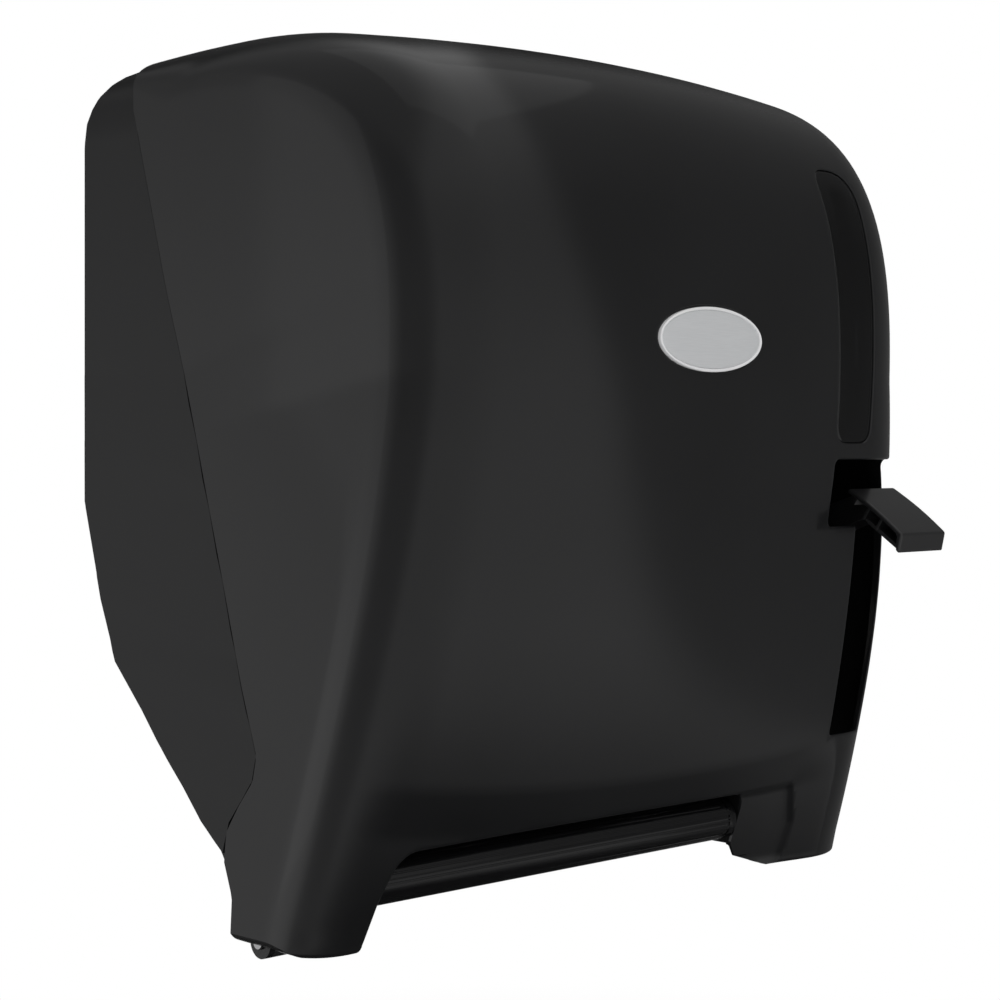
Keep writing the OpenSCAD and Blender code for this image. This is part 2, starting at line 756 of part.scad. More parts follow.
module lever() {
    long = norm(paddle_tip - paddle_back);
    t = paddle_t;
    pivot = [lever_d, lever_z];
    color(soft_black) difference() {
        union() {
            // Top plate and front lip
            slab(paddle_x, paddle_w) polygon([on_paddle(0, 0), on_paddle(long, 0),
                on_paddle(long + lip_lean, lip_h), on_paddle(long + lip_lean - t, lip_h),
                on_paddle(long - t, t), on_paddle(0, t)]);
            // Underside, right cheek and ribs
            slab(paddle_x + 2, paddle_w - 3) polygon([on_paddle(long + lip_lean - 1, lip_h - 0.3),
                on_paddle(long - 22, lip_h - 0.3), on_paddle(long - 22, lip_h - 2.3),
                on_paddle(long + lip_lean - 2, lip_h - 2.3)]);
            slab(paddle_x + paddle_w - 3.5, 3) polygon([on_paddle(0.4, 1), on_paddle(long - 1.2, 1),
                on_paddle(long + lip_lean - 1.8, lip_h - 1),
                on_paddle(long - 21, lip_h - 1), on_paddle(0.4, 4)]);
            for (at = [5, 14, 23]) slab(paddle_x + 1, paddle_w - 3) polygon([
                on_paddle(at, 1), on_paddle(at + 1.6, 1),
                on_paddle(at + 1.6, min(lip_h - 1, 3 + at / 2)), on_paddle(at, min(lip_h - 1, 3 + at / 2))]);
            // Arm and hub
            slab(arm_x, arm_w) polygon([arm_top, on_paddle(0.8, 0.8), on_paddle(8, 1.2),
                on_paddle(long - 19, lip_h - 1.4),
                on_paddle(long - 30, lip_h + 3), pivot + [7, -hub_r + 2], pivot]);
            bar(arm_x - 6, arm_w + 7, lever_d, lever_z, hub_r);
        }
        bar(arm_x - 20, arm_w + 60, lever_d, lever_z, lever_shaft_r);
    }
}

shaft_x0 = frame_right_x - 4;
shaft_x1 = arm_x + arm_w + 4;

module lever_shaft() {
    color(steel) difference() {
        bar(shaft_x0, shaft_x1 - shaft_x0, lever_d, lever_z, lever_shaft_r);
        for (x = clip_places()) ring(x, clip_t, lever_d, lever_z, lever_shaft_r + 1, lever_shaft_r - 0.4);
    }
}

sector_first = -3;
sector_last = 14;

module sector_gear() {
    rr = tooth_m * sector_teeth / 2 - 1.25 * tooth_m;
    step = 360 / sector_teeth;
    a0 = (sector_first - 0.9) * step;
    a1 = (sector_last + 0.9) * step;
    color(white) difference() {
        union() {
            slab(gears_x, gear_w) translate([lever_d, lever_z]) rotate(mesh_angle) {
                gear2d(sector_teeth, tooth_m, 0.12, sector_first, sector_last);
                polygon(concat([for (a = [a0:(a1 - a0) / 12:a1 + 0.01]) rr * [cos(a), sin(a)]],
                    [[0, 10], [-8, 8], [-8, -8], [0, -10]]));
            }
            bar(gears_x - 1.5, gear_w + 3, lever_d, lever_z, 13);
        }
        bar(gears_x - 9, gear_w + 20, lever_d, lever_z, lever_shaft_r);
        for (s = [0.32, 0.68]) {
            a = mesh_angle + a0 + (a1 - a0) * s;
            bar(gears_x - 9, gear_w + 20, lever_d + 40 * cos(a), lever_z + 40 * sin(a), 9);
        }
    }
}

module lever_spring() {
    color(steel) torsion_spring(plate_x + plate_t + 0.5, arm_x - 7 - plate_x - plate_t, lever_d, lever_z,
        9, 0.9, 4, 60, 8);
}

module lever_bushings() {
    color(white) for (x = [frame_right_x, plate_x]) {
        ring(x, frame_t, lever_d, lever_z, lever_shaft_r + 3, lever_shaft_r + run_fit);
        ring(x - 1.2, 1.2, lever_d, lever_z, lever_shaft_r + 5, lever_shaft_r + run_fit);
    }
}

// The buffer rests on the line of the arm's top edge
arm_top = [lever_d + 4, lever_z + hub_r - 1];
arm_slope = (paddle_back - arm_top) / norm(paddle_back - arm_top);
buffer_r = 4;
buffer_at = arm_top + 28 * arm_slope + (buffer_r + 0.4) * [-arm_slope.y, arm_slope.x];
buffer_d = buffer_at.x;
buffer_z = buffer_at.y;

module lever_buffer() {
    color(rubber) {
        bar(plate_x + plate_t, arm_x + arm_w - 2 - plate_x - plate_t, buffer_d, buffer_z, buffer_r);
        bar(plate_x - 2, 2, buffer_d, buffer_z, 5);
        bar(plate_x - 1, plate_t + 2, buffer_d, buffer_z, 3);
    }
}

clip_t = 1.2;

function clip_places() = [shaft_x0 + 0.8, shaft_x1 - 2.4];

module clip(x, d, z, r) {
    difference() {
        ring(x, clip_t, d, z, r + 2.6, r - 0.4);
        block([x - 1, d - r + 0.6, z - r - 4], [x + 3, d + r - 0.6, z]);
    }
}

module shaft_clips() {
    color(steel) {
        for (x = clip_places()) clip(x, lever_d, lever_z, lever_shaft_r);
    }
}

// Side frames ---------------------------------------------------------------

function frame_outline() = [[flange_d, flat_low + 40], [flange_d, flat_low], [24, 146], [35, 120],
    [76, 78], [92, 56], [106, 46], [156, 46], [162, 54], [162, 96], [146, 124], [140, 160], [126, 178],
    [70, 196], [40, flat_low + 40]];

module frame_side() {
    difference() {
        polygon(frame_outline());
        translate([66, 140]) circle(r = 16);
        translate([60, 176]) circle(r = 8);
    }
}

module frame_flange(x) {
    block([x, flange_d, flat_low - 1], [x + 16, flange_d + 3, flat_low + 40]);
}

module frame_left() {
    x = frame_left_x;
    color(soft_black) difference() {
        union() {
            slab(x, frame_t) frame_side();
            frame_flange(x - 16 + frame_t);
        }
        bar(x - 9, 30, feed_d, feed_z, shaft_r + 3);
        bar(x - 9, 30, yoke_d, yoke_z, 3);
        for (p = tie_places()) bar(x - 9, 30, p.x, p.y, 2.5);
        for (p = frame_feet()) stud(p.x, p.y, 2, 14, 1.9);
    }
}

module frame_right() {
    x = frame_right_x;
    color(soft_black) difference() {
        union() {
            slab(x, frame_t) frame_side();
            frame_flange(x);
        }
        bar(x - 9, 30, feed_d, feed_z, shaft_r + 3);
        bar(x - 9, 30, lever_d, lever_z, lever_shaft_r + 3);
        bar(x - 9, 30, yoke_d, yoke_z, 3);
        for (p = tie_places()) bar(x - 9, 30, p.x, p.y, 2.5);
        for (p = post_places()) bar(x - 9, 30, p.x, p.y, 1.9);
        for (p = frame_feet()) stud(p.x, p.y, 2, 14, 1.9);
    }
}

function tie_places() = [[48, 164], [150, 88]];

function post_places() = [[74, 186], [112, 172], [155, 56], [97, 62]];

module tie_rods() {
    long = frame_right_x - frame_left_x + frame_t;
    color(steel) for (p = tie_places()) {
        bar(frame_left_x, long, p.x, p.y, 2.5);
        for (x = [frame_left_x - 2, frame_left_x + long]) bar(x, 2, p.x, p.y, 4.5);
        ring(frame_left_x + frame_t, long - 2 * frame_t, p.x, p.y, 3.5, 2.5);
    }
}

module housing_screws() {
    color(steel) for (p = concat(frame_feet(), arm_feet(), keeper_feet())) {
        pan_screw(p.x, p.y, flange_d + 3);
    }
}

module gear_plate() {
    color(soft_black) difference() {
        slab(plate_x, plate_t) difference() {
            hull() for (p = concat(post_places(), [[buffer_d, buffer_z]]))
                translate(p) circle(r = 7, $fn = 32);
            translate([112, 100]) circle(r = 11);
        }
        bar(plate_x - 9, 30, feed_d, feed_z, shaft_r + 3);
        bar(plate_x - 9, 30, lever_d, lever_z, lever_shaft_r + 3);
        bar(plate_x - 9, 30, buffer_d, buffer_z, 3);
        for (p = post_places()) bar(plate_x - 9, 30, p.x, p.y, 1.9);
    }
}

module gear_plate_posts() {
    x = frame_right_x + frame_t;
    color(steel) for (p = post_places()) {
        ring(x, plate_x - x, p.x, p.y, 4, 1.9);
        bar(frame_right_x - 0.4, plate_x + plate_t - frame_right_x + 0.4, p.x, p.y, 1.9);
        bar(plate_x + plate_t, 2.2, p.x, p.y, 3.4);
        bar(frame_right_x - 0.8, 0.8, p.x, p.y, 3);
    }
}

// Feed roller ----------------------------------------------------------------

core_x0 = frame_left_x + frame_t + 2.5;
core_x1 = frame_right_x - 2.5;
feed_x0 = frame_left_x - 12;
feed_x1 = plate_x + plate_t + 2;
core_r = feed_r - 3;
sleeve_count = 4;

module feed_shaft() {
    color(steel) bar(feed_x0, feed_x1 - feed_x0, feed_d, feed_z, shaft_r);
}

module feed_core() {
    color(soft_black) ring(core_x0, core_x1 - core_x0, feed_d, feed_z, core_r, shaft_r);
}

module feed_sleeves() {
    pitch = (core_x1 - core_x0) / sleeve_count;
    color(rubber) for (k = [0:sleeve_count - 1]) {
        ring(core_x0 + (k + 0.5) * pitch - 15, 30, feed_d, feed_z, feed_r, core_r);
    }
}

module feed_bushings() {
    color(white) for (p = [[frame_left_x, 1], [frame_right_x, 1], [plate_x, 1]]) {
        ring(p.x, frame_t, feed_d, feed_z, shaft_r + 3, shaft_r + run_fit);
        ring(p.x - 1.2, 1.2, feed_d, feed_z, shaft_r + 5, shaft_r + run_fit);
    }
}

module drive_pinion() {
    rr = tooth_m * pinion_teeth / 2 - 1.25 * tooth_m;
    color(white) difference() {
        union() {
            slab(gears_x, gear_w) translate([feed_d, feed_z]) rotate(mesh_angle + 180 + 180 / pinion_teeth) {
                gear2d(pinion_teeth, tooth_m, 0.12, 0, pinion_teeth - 1);
                circle(r = rr);
            }
        }
        bar(gears_x - 1, gear_w + 2, feed_d, feed_z, shaft_r + 3);
    }
}

module one_way_clutch() {
    color(steel) ring(gears_x, gear_w, feed_d, feed_z, shaft_r + 3, shaft_r);
}

module backstop_clutch() {
    x = frame_left_x - 5.2;
    color(steel) difference() {
        union() {
            bar(x, 4, feed_d, feed_z, shaft_r + 5);
            block([x + 2.2, feed_d - 22, feed_z + 12], [x + 5.2, feed_d - 12, feed_z + 22]);
            slab(x + 1, 3) polygon([[feed_d - 7, feed_z + 1], [feed_d + 1, feed_z + 7],
                [feed_d - 12, feed_z + 21], [feed_d - 20, feed_z + 13]]);
        }
        bar(x - 9, 20, feed_d, feed_z, shaft_r + run_fit);
    }
}

module thread_wheel() {
    x = feed_x0 + 0.5;
    color(soft_black) difference() {
        slab(x, 6) translate([feed_d, feed_z]) {
            circle(r = 13.5);
            for (a = [0:15:345]) rotate(a) translate([12.5, -0.8]) square([2, 1.6]);
        }
        bar(x - 1, 9, feed_d, feed_z, shaft_r);
    }
}

// Pressure roller ------------------------------------------------------------

cheek_t = 2.5;
cheek_l = frame_left_x + frame_t + 1;
cheek_r = frame_right_x - 1 - cheek_t;

module pressure_yoke() {
    color(soft_black) difference() {
        union() {
            for (x = [cheek_l, cheek_r]) slab(x, cheek_t) hull() {
                translate([yoke_d, yoke_z]) circle(r = 7, $fn = 32);
                translate([press_d, press_z]) circle(r = 6.5, $fn = 32);
            }
            block([cheek_l, yoke_d + 1.5, yoke_z - 24], [cheek_r + cheek_t, yoke_d + 4.5, yoke_z - 9]);
        }
        bar(cheek_l - 9, bay_w + 60, yoke_d, yoke_z, 3 + run_fit);
        bar(cheek_l - 9, bay_w + 60, press_d, press_z, 2.5);
    }
}

module pressure_shaft() {
    color(steel) bar(cheek_l - 0.5, cheek_r + cheek_t - cheek_l + 1, press_d, press_z, 2.5);
}

module pressure_roller() {
    x0 = cheek_l + cheek_t + 1;
    color(soft_black) ring(x0, cheek_r - 1 - x0, press_d, press_z, press_r, 2.5 + run_fit);
}

module yoke_pins() {
    color(steel) {
        bar(frame_left_x - 2, frame_t + cheek_t + 3.5, yoke_d, yoke_z, 3);
        bar(frame_left_x - 4, 2, yoke_d, yoke_z, 5);
        bar(cheek_r - 0.5, frame_t + cheek_t + 2.5, yoke_d, yoke_z, 3);
        bar(frame_right_x + frame_t, 1.4, yoke_d, yoke_z, 5);
    }
}

module yoke_springs() {
    color(steel) {
        torsion_spring(cheek_l + cheek_t + 0.4, 8, yoke_d, yoke_z, 5, 0.6, 5, 200, 6);
        torsion_spring(cheek_r - 8.4, 8, yoke_d, yoke_z, 5, 0.6, 5, 200, 6);
    }
}

module front_guide() {
    r = feed_r + 4;
    x0 = frame_left_x + frame_t;
    color(soft_black) slab(x0, frame_right_x - x0) translate([feed_d, feed_z]) polygon(concat(
        [for (a = [-55:10:45]) r * [cos(a), sin(a)]],
        [for (a = [45:-10:-55]) (r + 2) * [cos(a), sin(a)]]));
}

// Lock -------------------------------------------------------------------------

lock_top = crown_z + 3.4;
lock_low = lock_top - 22;
cam_z = lock_low - 2.5;
keeper_z = flat_high - 34;
cam_len = 24;

module up(z) {
    translate([0, -lock_d, z]) children();
}

module lock_barrel() {
    color(steel) difference() {
        union() {
            up(lock_low) cylinder(h = 22, r = lock_r);
            up(lock_top - 0.2) cylinder(h = 2, r = lock_r + 2);
        }
        up(lock_low - 1) cylinder(h = 30, r = 5.5 + run_fit);
    }
}

module lock_plug() {
    color([0.8, 0.8, 0.8]) difference() {
        up(lock_low - 2.5) cylinder(h = 24.5, r = 5.5);
        up(lock_top - 6) translate([-2.6, -0.7, 0]) cube([5.2, 1.4, 9]);
    }
}

module lock_cam() {
    color(steel) up(lock_low - 2.5) difference() {
        hull() {
            cylinder(h = 2, r = 8);
            translate([0, cam_len - 5, 0]) cylinder(h = 2, r = 5);
        }
        translate([0, 0, -1]) cylinder(h = 5, r = 5.5);
    }
}

module lock_nut() {
    color(steel) up(lock_top - wall - 7) difference() {
        cylinder(h = 4, r = lock_r + 4.5, $fn = 6);
        translate([0, 0, -1]) cylinder(h = 6, r = lock_r);
    }
}

module lock_keeper() {
    d1 = lock_d + 9;
    t = 3;
    color(steel) difference() {
        slab(10, 20) polygon([[flange_d, keeper_z], [flange_d + t, keeper_z], [flange_d + t, keeper_z + 16],
            [d1 - 6, cam_z - 4], [d1 + 2, cam_z - 4], [d1 + 2, cam_z + 5], [d1, cam_z + 5], [d1, cam_z - 2],
            [d1 - 6, cam_z - 2], [flange_d, keeper_z + 20]]);
        for (p = keeper_feet()) stud(p.x, p.y, 2, 14, 1.9);
    }
}

// Cover hinge --------------------------------------------------------------------

seat_a = under[4];
seat_b = under[5];
seat_way = (seat_b - seat_a) / norm(seat_b - seat_a);
seat_up = [-seat_way.y, seat_way.x];

hinge_screw_dx = 7;
seat_mid = foot_mid - 16;
hinge_screw_at = seat_a + 9 * seat_way;

// Pad inside the slanted underside, under the foot of each hinge bracket
module hinge_seat(x) {
    slab(x - (x < 0 ? 16 : 9.5), 25.5) polygon([seat_a + 2 * seat_up, seat_b - 2 * seat_way + 2 * seat_up,
        seat_b - 2 * seat_way + 6.6 * seat_up, seat_a + 6.6 * seat_up]);
}

// Round bar square to the underside; from and to are counted inwards from its surface
module seat_bar(x, from, to, r) {
    p = hinge_screw_at + from * seat_up;
    translate([x, -p.x, p.y]) rotate([atan2(seat_up.x, seat_up.y), 0, 0]) cylinder(h = to - from, r = r);
}

module hinge_bracket(x, seat) {
    t = 3;
    color(soft_black) difference() {
        union() {
            slab(seat - (seat < 0 ? 17 : 14), 31) polygon([seat_a + seat_way, seat_b - 2 * seat_way,
                seat_b - 2 * seat_way - t * seat_up, seat_a + seat_way - t * seat_up]);
            slab(x - knuckle_w / 2, knuckle_w) polygon(concat(
                [seat_a + 4 * seat_way - t * seat_up, seat_b - 2 * seat_way - 0.5 * seat_up,
                    [hinge_d - 2, hinge_z + knuckle_r]],
                [for (a = [90:-15:-165]) [hinge_d, hinge_z] + knuckle_r * [cos(a), sin(a)]]));
        }
        bar(x - 20, 40, hinge_d, hinge_z, pin_r + run_fit);
        for (k = [-1, 1]) seat_bar(seat + k * hinge_screw_dx, -9, 9, 1.9);
    }
}

module hinge_screws() {
    color(steel) for (s = [-1, 1]) for (k = [-1, 1]) {
        seat_bar(s * seat_mid + k * hinge_screw_dx, -5.2, -3, 3.4);
        seat_bar(s * seat_mid + k * hinge_screw_dx, -4, 6, 1.9);
    }
}

module hinge_bracket_left() {
    hinge_bracket(-foot_mid, -seat_mid);
}

module hinge_bracket_right() {
    hinge_bracket(foot_mid, seat_mid);
}

module hinge_pins() {
    reach = knuckle_w / 2 + lug_t + gap + 1.5;
    color(steel) for (s = [-1, 1]) {
        bar(s * foot_mid - reach, 2 * reach, hinge_d, hinge_z, pin_r);
    }
}

hung() rear_housing();
hung() front_cover();
hung() sight_window();
hung() badge_plate();
hung() badge_bezel();
hung() guard_roller();
hung() guard_collars();
hung() guard_rod();
hung() tear_bar_holder();
hung() tear_blade();
hung() tear_bar_screws();
hung() lever();
hung() lever_shaft();
hung() sector_gear();
hung() lever_spring();
hung() lever_bushings();
hung() lever_buffer();
hung() shaft_clips();
hung() frame_left();
hung() frame_right();
hung() gear_plate();
hung() gear_plate_posts();
hung() housing_screws();
hung() tie_rods();
hung() feed_shaft();
hung() feed_core();
hung() feed_sleeves();
hung() feed_bushings();
hung() drive_pinion();
hung() one_way_clutch();
hung() backstop_clutch();
hung() thread_wheel();
hung() pressure_yoke();
hung() pressure_shaft();
hung() pressure_roller();
hung() yoke_pins();
hung() yoke_springs();
hung() front_guide();
hung() roll_arm_left();
hung() roll_arm_right();
hung() roll_plug_left();
hung() roll_plug_right();
hung() plug_axle_left();
hung() plug_axle_right();
hung() arm_pin();
hung() arm_spring();
hung() lock_barrel();
hung() lock_plug();
hung() lock_cam();
hung() lock_nut();
hung() lock_keeper();
hung() hinge_bracket_left();
hung() hinge_bracket_right();
hung() hinge_screws();
hung() hinge_pins();
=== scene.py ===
import bpy
import json
import math
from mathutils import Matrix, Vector
from mathutils.bvhtree import BVHTree


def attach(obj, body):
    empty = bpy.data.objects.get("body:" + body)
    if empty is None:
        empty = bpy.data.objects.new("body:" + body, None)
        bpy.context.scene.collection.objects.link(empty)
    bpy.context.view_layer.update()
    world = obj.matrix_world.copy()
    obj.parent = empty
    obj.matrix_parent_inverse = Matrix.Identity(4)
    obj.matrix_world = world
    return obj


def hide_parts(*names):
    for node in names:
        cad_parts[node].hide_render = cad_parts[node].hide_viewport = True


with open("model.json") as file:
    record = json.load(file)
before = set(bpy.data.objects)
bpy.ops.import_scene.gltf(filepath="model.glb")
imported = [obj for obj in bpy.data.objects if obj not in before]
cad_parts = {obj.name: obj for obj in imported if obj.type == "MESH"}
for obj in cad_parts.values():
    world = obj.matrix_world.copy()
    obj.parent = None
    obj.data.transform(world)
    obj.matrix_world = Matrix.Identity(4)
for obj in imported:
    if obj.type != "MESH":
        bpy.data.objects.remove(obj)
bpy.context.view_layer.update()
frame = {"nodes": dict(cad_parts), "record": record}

wallMiddle = 267  # the wall flat's middle above the feet, in millimetres


# Everything below is laid out in millimetres above the feet: across, depth from the wall, height
def spot(x, depth, height):
    return Vector((x, -depth, height - wallMiddle)) / 1000


def clearSelection():
    if bpy.context.object and bpy.context.object.mode != "OBJECT":
        bpy.ops.object.mode_set(mode="OBJECT")
    for thing in bpy.context.selected_objects:
        thing.select_set(False)


def pick(piece):
    clearSelection()
    piece.select_set(True)
    bpy.context.view_layer.objects.active = piece
    return piece


def settle(piece, name):
    pick(piece)
    bpy.ops.object.transform_apply(location=True, rotation=True, scale=True)
    piece.name = piece.data.name = name
    return piece


def applyAll(piece):
    pick(piece)
    for modifier in list(piece.modifiers):
        bpy.ops.object.modifier_apply(modifier=modifier.name)
    return piece


def roundEdges(piece, width, segments=2, angle=35):
    bevel = piece.modifiers.new("edges", "BEVEL")
    bevel.width = width / 1000
    bevel.segments = segments
    bevel.limit_method = "ANGLE"
    bevel.angle_limit = math.radians(angle)
    return applyAll(piece)


def smooth(piece, angle=32):
    pick(piece)
    bpy.ops.object.shade_smooth_by_angle(angle=math.radians(angle))
    return piece


# Normals that follow the large faces, so that rounded edges leave them flat
def flatten(piece):
    weighted = piece.modifiers.new("flat", "WEIGHTED_NORMAL")
    weighted.keep_sharp = True
    return applyAll(piece)


def boolean(piece, tool, operation="DIFFERENCE", solver="MANIFOLD"):
    cut = piece.modifiers.new("cut", "BOOLEAN")
    cut.operation = operation
    cut.solver = solver
    cut.object = tool
    applyAll(piece)
    bpy.data.objects.remove(tool)
    return piece


def join(name, pieces):
    clearSelection()
    for piece in pieces:
        piece.select_set(True)
    bpy.context.view_layer.objects.active = pieces[0]
    bpy.ops.object.join()
    pieces[0].name = pieces[0].data.name = name
    return pieces[0]


def faceOut(piece):
    pick(piece)
    bpy.ops.object.mode_set(mode="EDIT")
    bpy.ops.mesh.select_all(action="SELECT")
    bpy.ops.mesh.remove_doubles(threshold=0.000002)
    bpy.ops.mesh.normals_make_consistent(inside=False)
    bpy.ops.object.mode_set(mode="OBJECT")
    return piece


# Closed rings of points, skinned one after another and capped at both ends
def loft(name, rings):
    count = len(rings[0])
    points = [p for ring in rings for p in ring]
    faces = [tuple(range(count)), tuple(range(len(points) - 1, len(points) - count - 1, -1))]
    for r in range(len(rings) - 1):
        for k in range(count):
            a, b = r * count + k, r * count + (k + 1) % count
            faces.append((a, a + count, b + count, b))
    mesh = bpy.data.meshes.new(name)
    mesh.from_pydata(points, [], faces)
    piece = bpy.data.objects.new(name, mesh)
    bpy.context.scene.collection.objects.link(piece)
    return faceOut(piece)


def block(name, low, high, bevel=0, segments=2):
    size = [high[i] - low[i] for i in range(3)]
    middle = [(high[i] + low[i]) / 2 for i in range(3)]
    clearSelection()
    bpy.ops.mesh.primitive_cube_add(size=0.001, location=spot(*middle), scale=size)
    piece = settle(bpy.context.object, name)
    return roundEdges(piece, bevel, segments) if bevel else piece


def rod(name, x0, x1, depth, height, radius, bevel=0, sides=64):
    clearSelection()
    bpy.ops.mesh.primitive_cylinder_add(vertices=sides, radius=radius / 1000, depth=(x1 - x0) / 1000,
        location=spot((x0 + x1) / 2, depth, height), rotation=(0, math.pi / 2, 0))
    piece = settle(bpy.context.object, name)
    return roundEdges(piece, bevel) if bevel else piece


# A side view, drawn as depth and height, pushed out across the body
def slab(name, x, width, profile, bevel=0, segments=2):
    clearSelection()
    bpy.ops.mesh.primitive_circle_add(vertices=len(profile), radius=0.01, fill_type="NGON")
    piece = bpy.context.object
    for corner, point in zip(piece.data.vertices, profile):
        corner.co = spot(x, *point)
    bpy.ops.object.mode_set(mode="EDIT")
    bpy.ops.mesh.select_all(action="SELECT")
    bpy.ops.mesh.extrude_region_move(TRANSFORM_OT_translate={"value": (width / 1000, 0, 0)})
    bpy.ops.object.mode_set(mode="OBJECT")
    faceOut(settle(piece, name))
    return roundEdges(piece, bevel, segments) if bevel else piece


def material(name, look):
    finish = bpy.data.materials.new(name)
    finish.use_nodes = True
    tree = finish.node_tree
    nodes, links = tree.nodes, tree.links
    shader = nodes["Principled BSDF"]
    place = nodes.new("ShaderNodeTexCoord")
    stretch = nodes.new("ShaderNodeMapping")
    stretch.inputs["Scale"].default_value = look.get("stretch", (1, 1, 1))
    links.new(place.outputs["Object"], stretch.inputs["Vector"])

    def noise(scale, detail):
        pattern = nodes.new("ShaderNodeTexNoise")
        pattern.inputs["Scale"].default_value = scale
        pattern.inputs["Detail"].default_value = detail
        links.new(stretch.outputs["Vector"], pattern.inputs["Vector"])
        return pattern.outputs["Fac"]

    def spread(source, low, high, from0=0.3, from1=0.7):
        remap = nodes.new("ShaderNodeMapRange")
        remap.inputs["From Min"].default_value = from0
        remap.inputs["From Max"].default_value = from1
        remap.inputs["To Min"].default_value = low
        remap.inputs["To Max"].default_value = high
        links.new(source, remap.inputs["Value"])
        return remap.outputs["Result"]

    cloud = noise(look.get("cloud", 14), 4)
    grain = noise(look.get("grain", 1400), 2)
    tint = nodes.new("ShaderNodeMix")
    tint.data_type = "RGBA"
    tint.inputs["A"].default_value = (*look["color"], 1)
    tint.inputs["B"].default_value = (*look.get("worn", [c * 1.25 for c in look["color"]]), 1)
    links.new(spread(cloud, 0, 1), tint.inputs["Factor"])
    links.new(tint.outputs["Result"], shader.inputs["Base Color"])
    rough, vary = look["rough"], look.get("vary", 0.03)
    worn = grain if look.get("fineRough") else cloud
    links.new(spread(worn, rough - vary, rough + vary), shader.inputs["Roughness"])
    bump = nodes.new("ShaderNodeBump")
    bump.inputs["Strength"].default_value = look.get("bump", 0.06)
    bump.inputs["Distance"].default_value = look.get("bumpDepth", 0.0002)
    links.new(grain, bump.inputs["Height"])
    links.new(bump.outputs["Normal"], shader.inputs["Normal"])
    for socket, value in look.get("set", {}).items():
        shader.inputs[socket].default_value = value
    return finish


looks = {
    "coverBlack": {"color": (0.006, 0.0061, 0.0065), "rough": 0.34, "grain": 1700, "bump": 0.04,
        "set": {"Specular IOR Level": 0.15, "Coat Weight": 1.0, "Coat Roughness": 0.08}},
    "housingBlack": {"color": (0.006, 0.0061, 0.0065), "rough": 0.38, "grain": 1500, "bump": 0.06,
        "set": {"Specular IOR Level": 0.18, "Coat Weight": 0.6, "Coat Roughness": 0.12}},
    "leverBlack": {"color": (0.009, 0.009, 0.0095), "rough": 0.3, "grain": 1900, "bump": 0.05,
        "set": {"Coat Weight": 1.0, "Coat Roughness": 0.14}},
    "insideBlack": {"color": (0.004, 0.004, 0.0042), "rough": 0.62, "grain": 1300, "bump": 0.1,
        "set": {"Specular IOR Level": 0.15}},
    "innerBlack": {"color": (0.014, 0.014, 0.0145), "rough": 0.42, "grain": 1300, "bump": 0.1},
    "glossBlack": {"color": (0.003, 0.003, 0.0033), "rough": 0.14, "vary": 0.02, "grain": 900,
        "bump": 0.01, "set": {"Specular IOR Level": 0.25, "Coat Weight": 0.7, "Coat Roughness": 0.03}},
    "rubberBlack": {"color": (0.02, 0.02, 0.02), "worn": (0.034, 0.033, 0.032), "rough": 0.78,
        "grain": 800, "bump": 0.35},
    "whiteNylon": {"color": (0.78, 0.77, 0.73), "worn": (0.72, 0.71, 0.66), "rough": 0.42, "grain": 1100,
        "bump": 0.06, "set": {"Subsurface Weight": 0.08, "Subsurface Radius": (0.002, 0.002, 0.0015)}},
    "zincSteel": {"color": (0.58, 0.59, 0.60), "worn": (0.47, 0.47, 0.46), "rough": 0.34, "vary": 0.07,
        "grain": 700, "bump": 0.08, "cloud": 60, "set": {"Metallic": 1.0}},
    "turnedSteel": {"color": (0.63, 0.63, 0.64), "worn": (0.52, 0.52, 0.53), "rough": 0.26, "vary": 0.06,
        "grain": 240, "bump": 0.1, "cloud": 30, "stretch": (0.12, 3, 3), "fineRough": True,
        "set": {"Metallic": 1.0}},
    "springSteel": {"color": (0.46, 0.46, 0.47), "worn": (0.33, 0.33, 0.34), "rough": 0.3, "grain": 900,
        "cloud": 120, "set": {"Metallic": 1.0}},
    "chrome": {"color": (0.86, 0.86, 0.87), "worn": (0.8, 0.8, 0.81), "rough": 0.12, "vary": 0.02,
        "grain": 900, "bump": 0.01, "set": {"Metallic": 1.0}},
    "brightRim": {"color": (0.93, 0.93, 0.94), "worn": (0.9, 0.9, 0.9), "rough": 0.14, "vary": 0.02,
        "grain": 900, "bump": 0.01, "set": {"Metallic": 0.25}},
    "brushedSilver": {"color": (0.66, 0.67, 0.68), "worn": (0.7, 0.71, 0.72), "rough": 0.42, "vary": 0.05,
        "grain": 3000, "bump": 0.06, "bumpDepth": 0.00006, "cloud": 2400, "stretch": (0.05, 1, 1),
        "fineRough": True, "set": {"Metallic": 0.35}},
}
finishes = {name: material(name, look) for name, look in looks.items()}

smoked = bpy.data.materials.new("smokedWindow")
smoked.use_nodes = True
smokedShader = smoked.node_tree.nodes["Principled BSDF"]
smokedShader.inputs["Base Color"].default_value = (0.16, 0.165, 0.175, 1)
smokedShader.inputs["Roughness"].default_value = 0.06
smokedShader.inputs["IOR"].default_value = 1.6
smokedShader.inputs["Transmission Weight"].default_value = 1.0
smokedGrain = smoked.node_tree.nodes.new("ShaderNodeTexNoise")
smokedGrain.inputs["Scale"].default_value = 60
smokedBump = smoked.node_tree.nodes.new("ShaderNodeBump")
smokedBump.inputs["Strength"].default_value = 0.02
smokedPlace = smoked.node_tree.nodes.new("ShaderNodeTexCoord")
smoked.node_tree.links.new(smokedPlace.outputs["Object"], smokedGrain.inputs["Vector"])
smoked.node_tree.links.new(smokedGrain.outputs["Fac"], smokedBump.inputs["Height"])
smoked.node_tree.links.new(smokedBump.outputs["Normal"], smokedShader.inputs["Normal"])
finishes["smokedWindow"] = smoked
print("materials ready:", len(finishes))


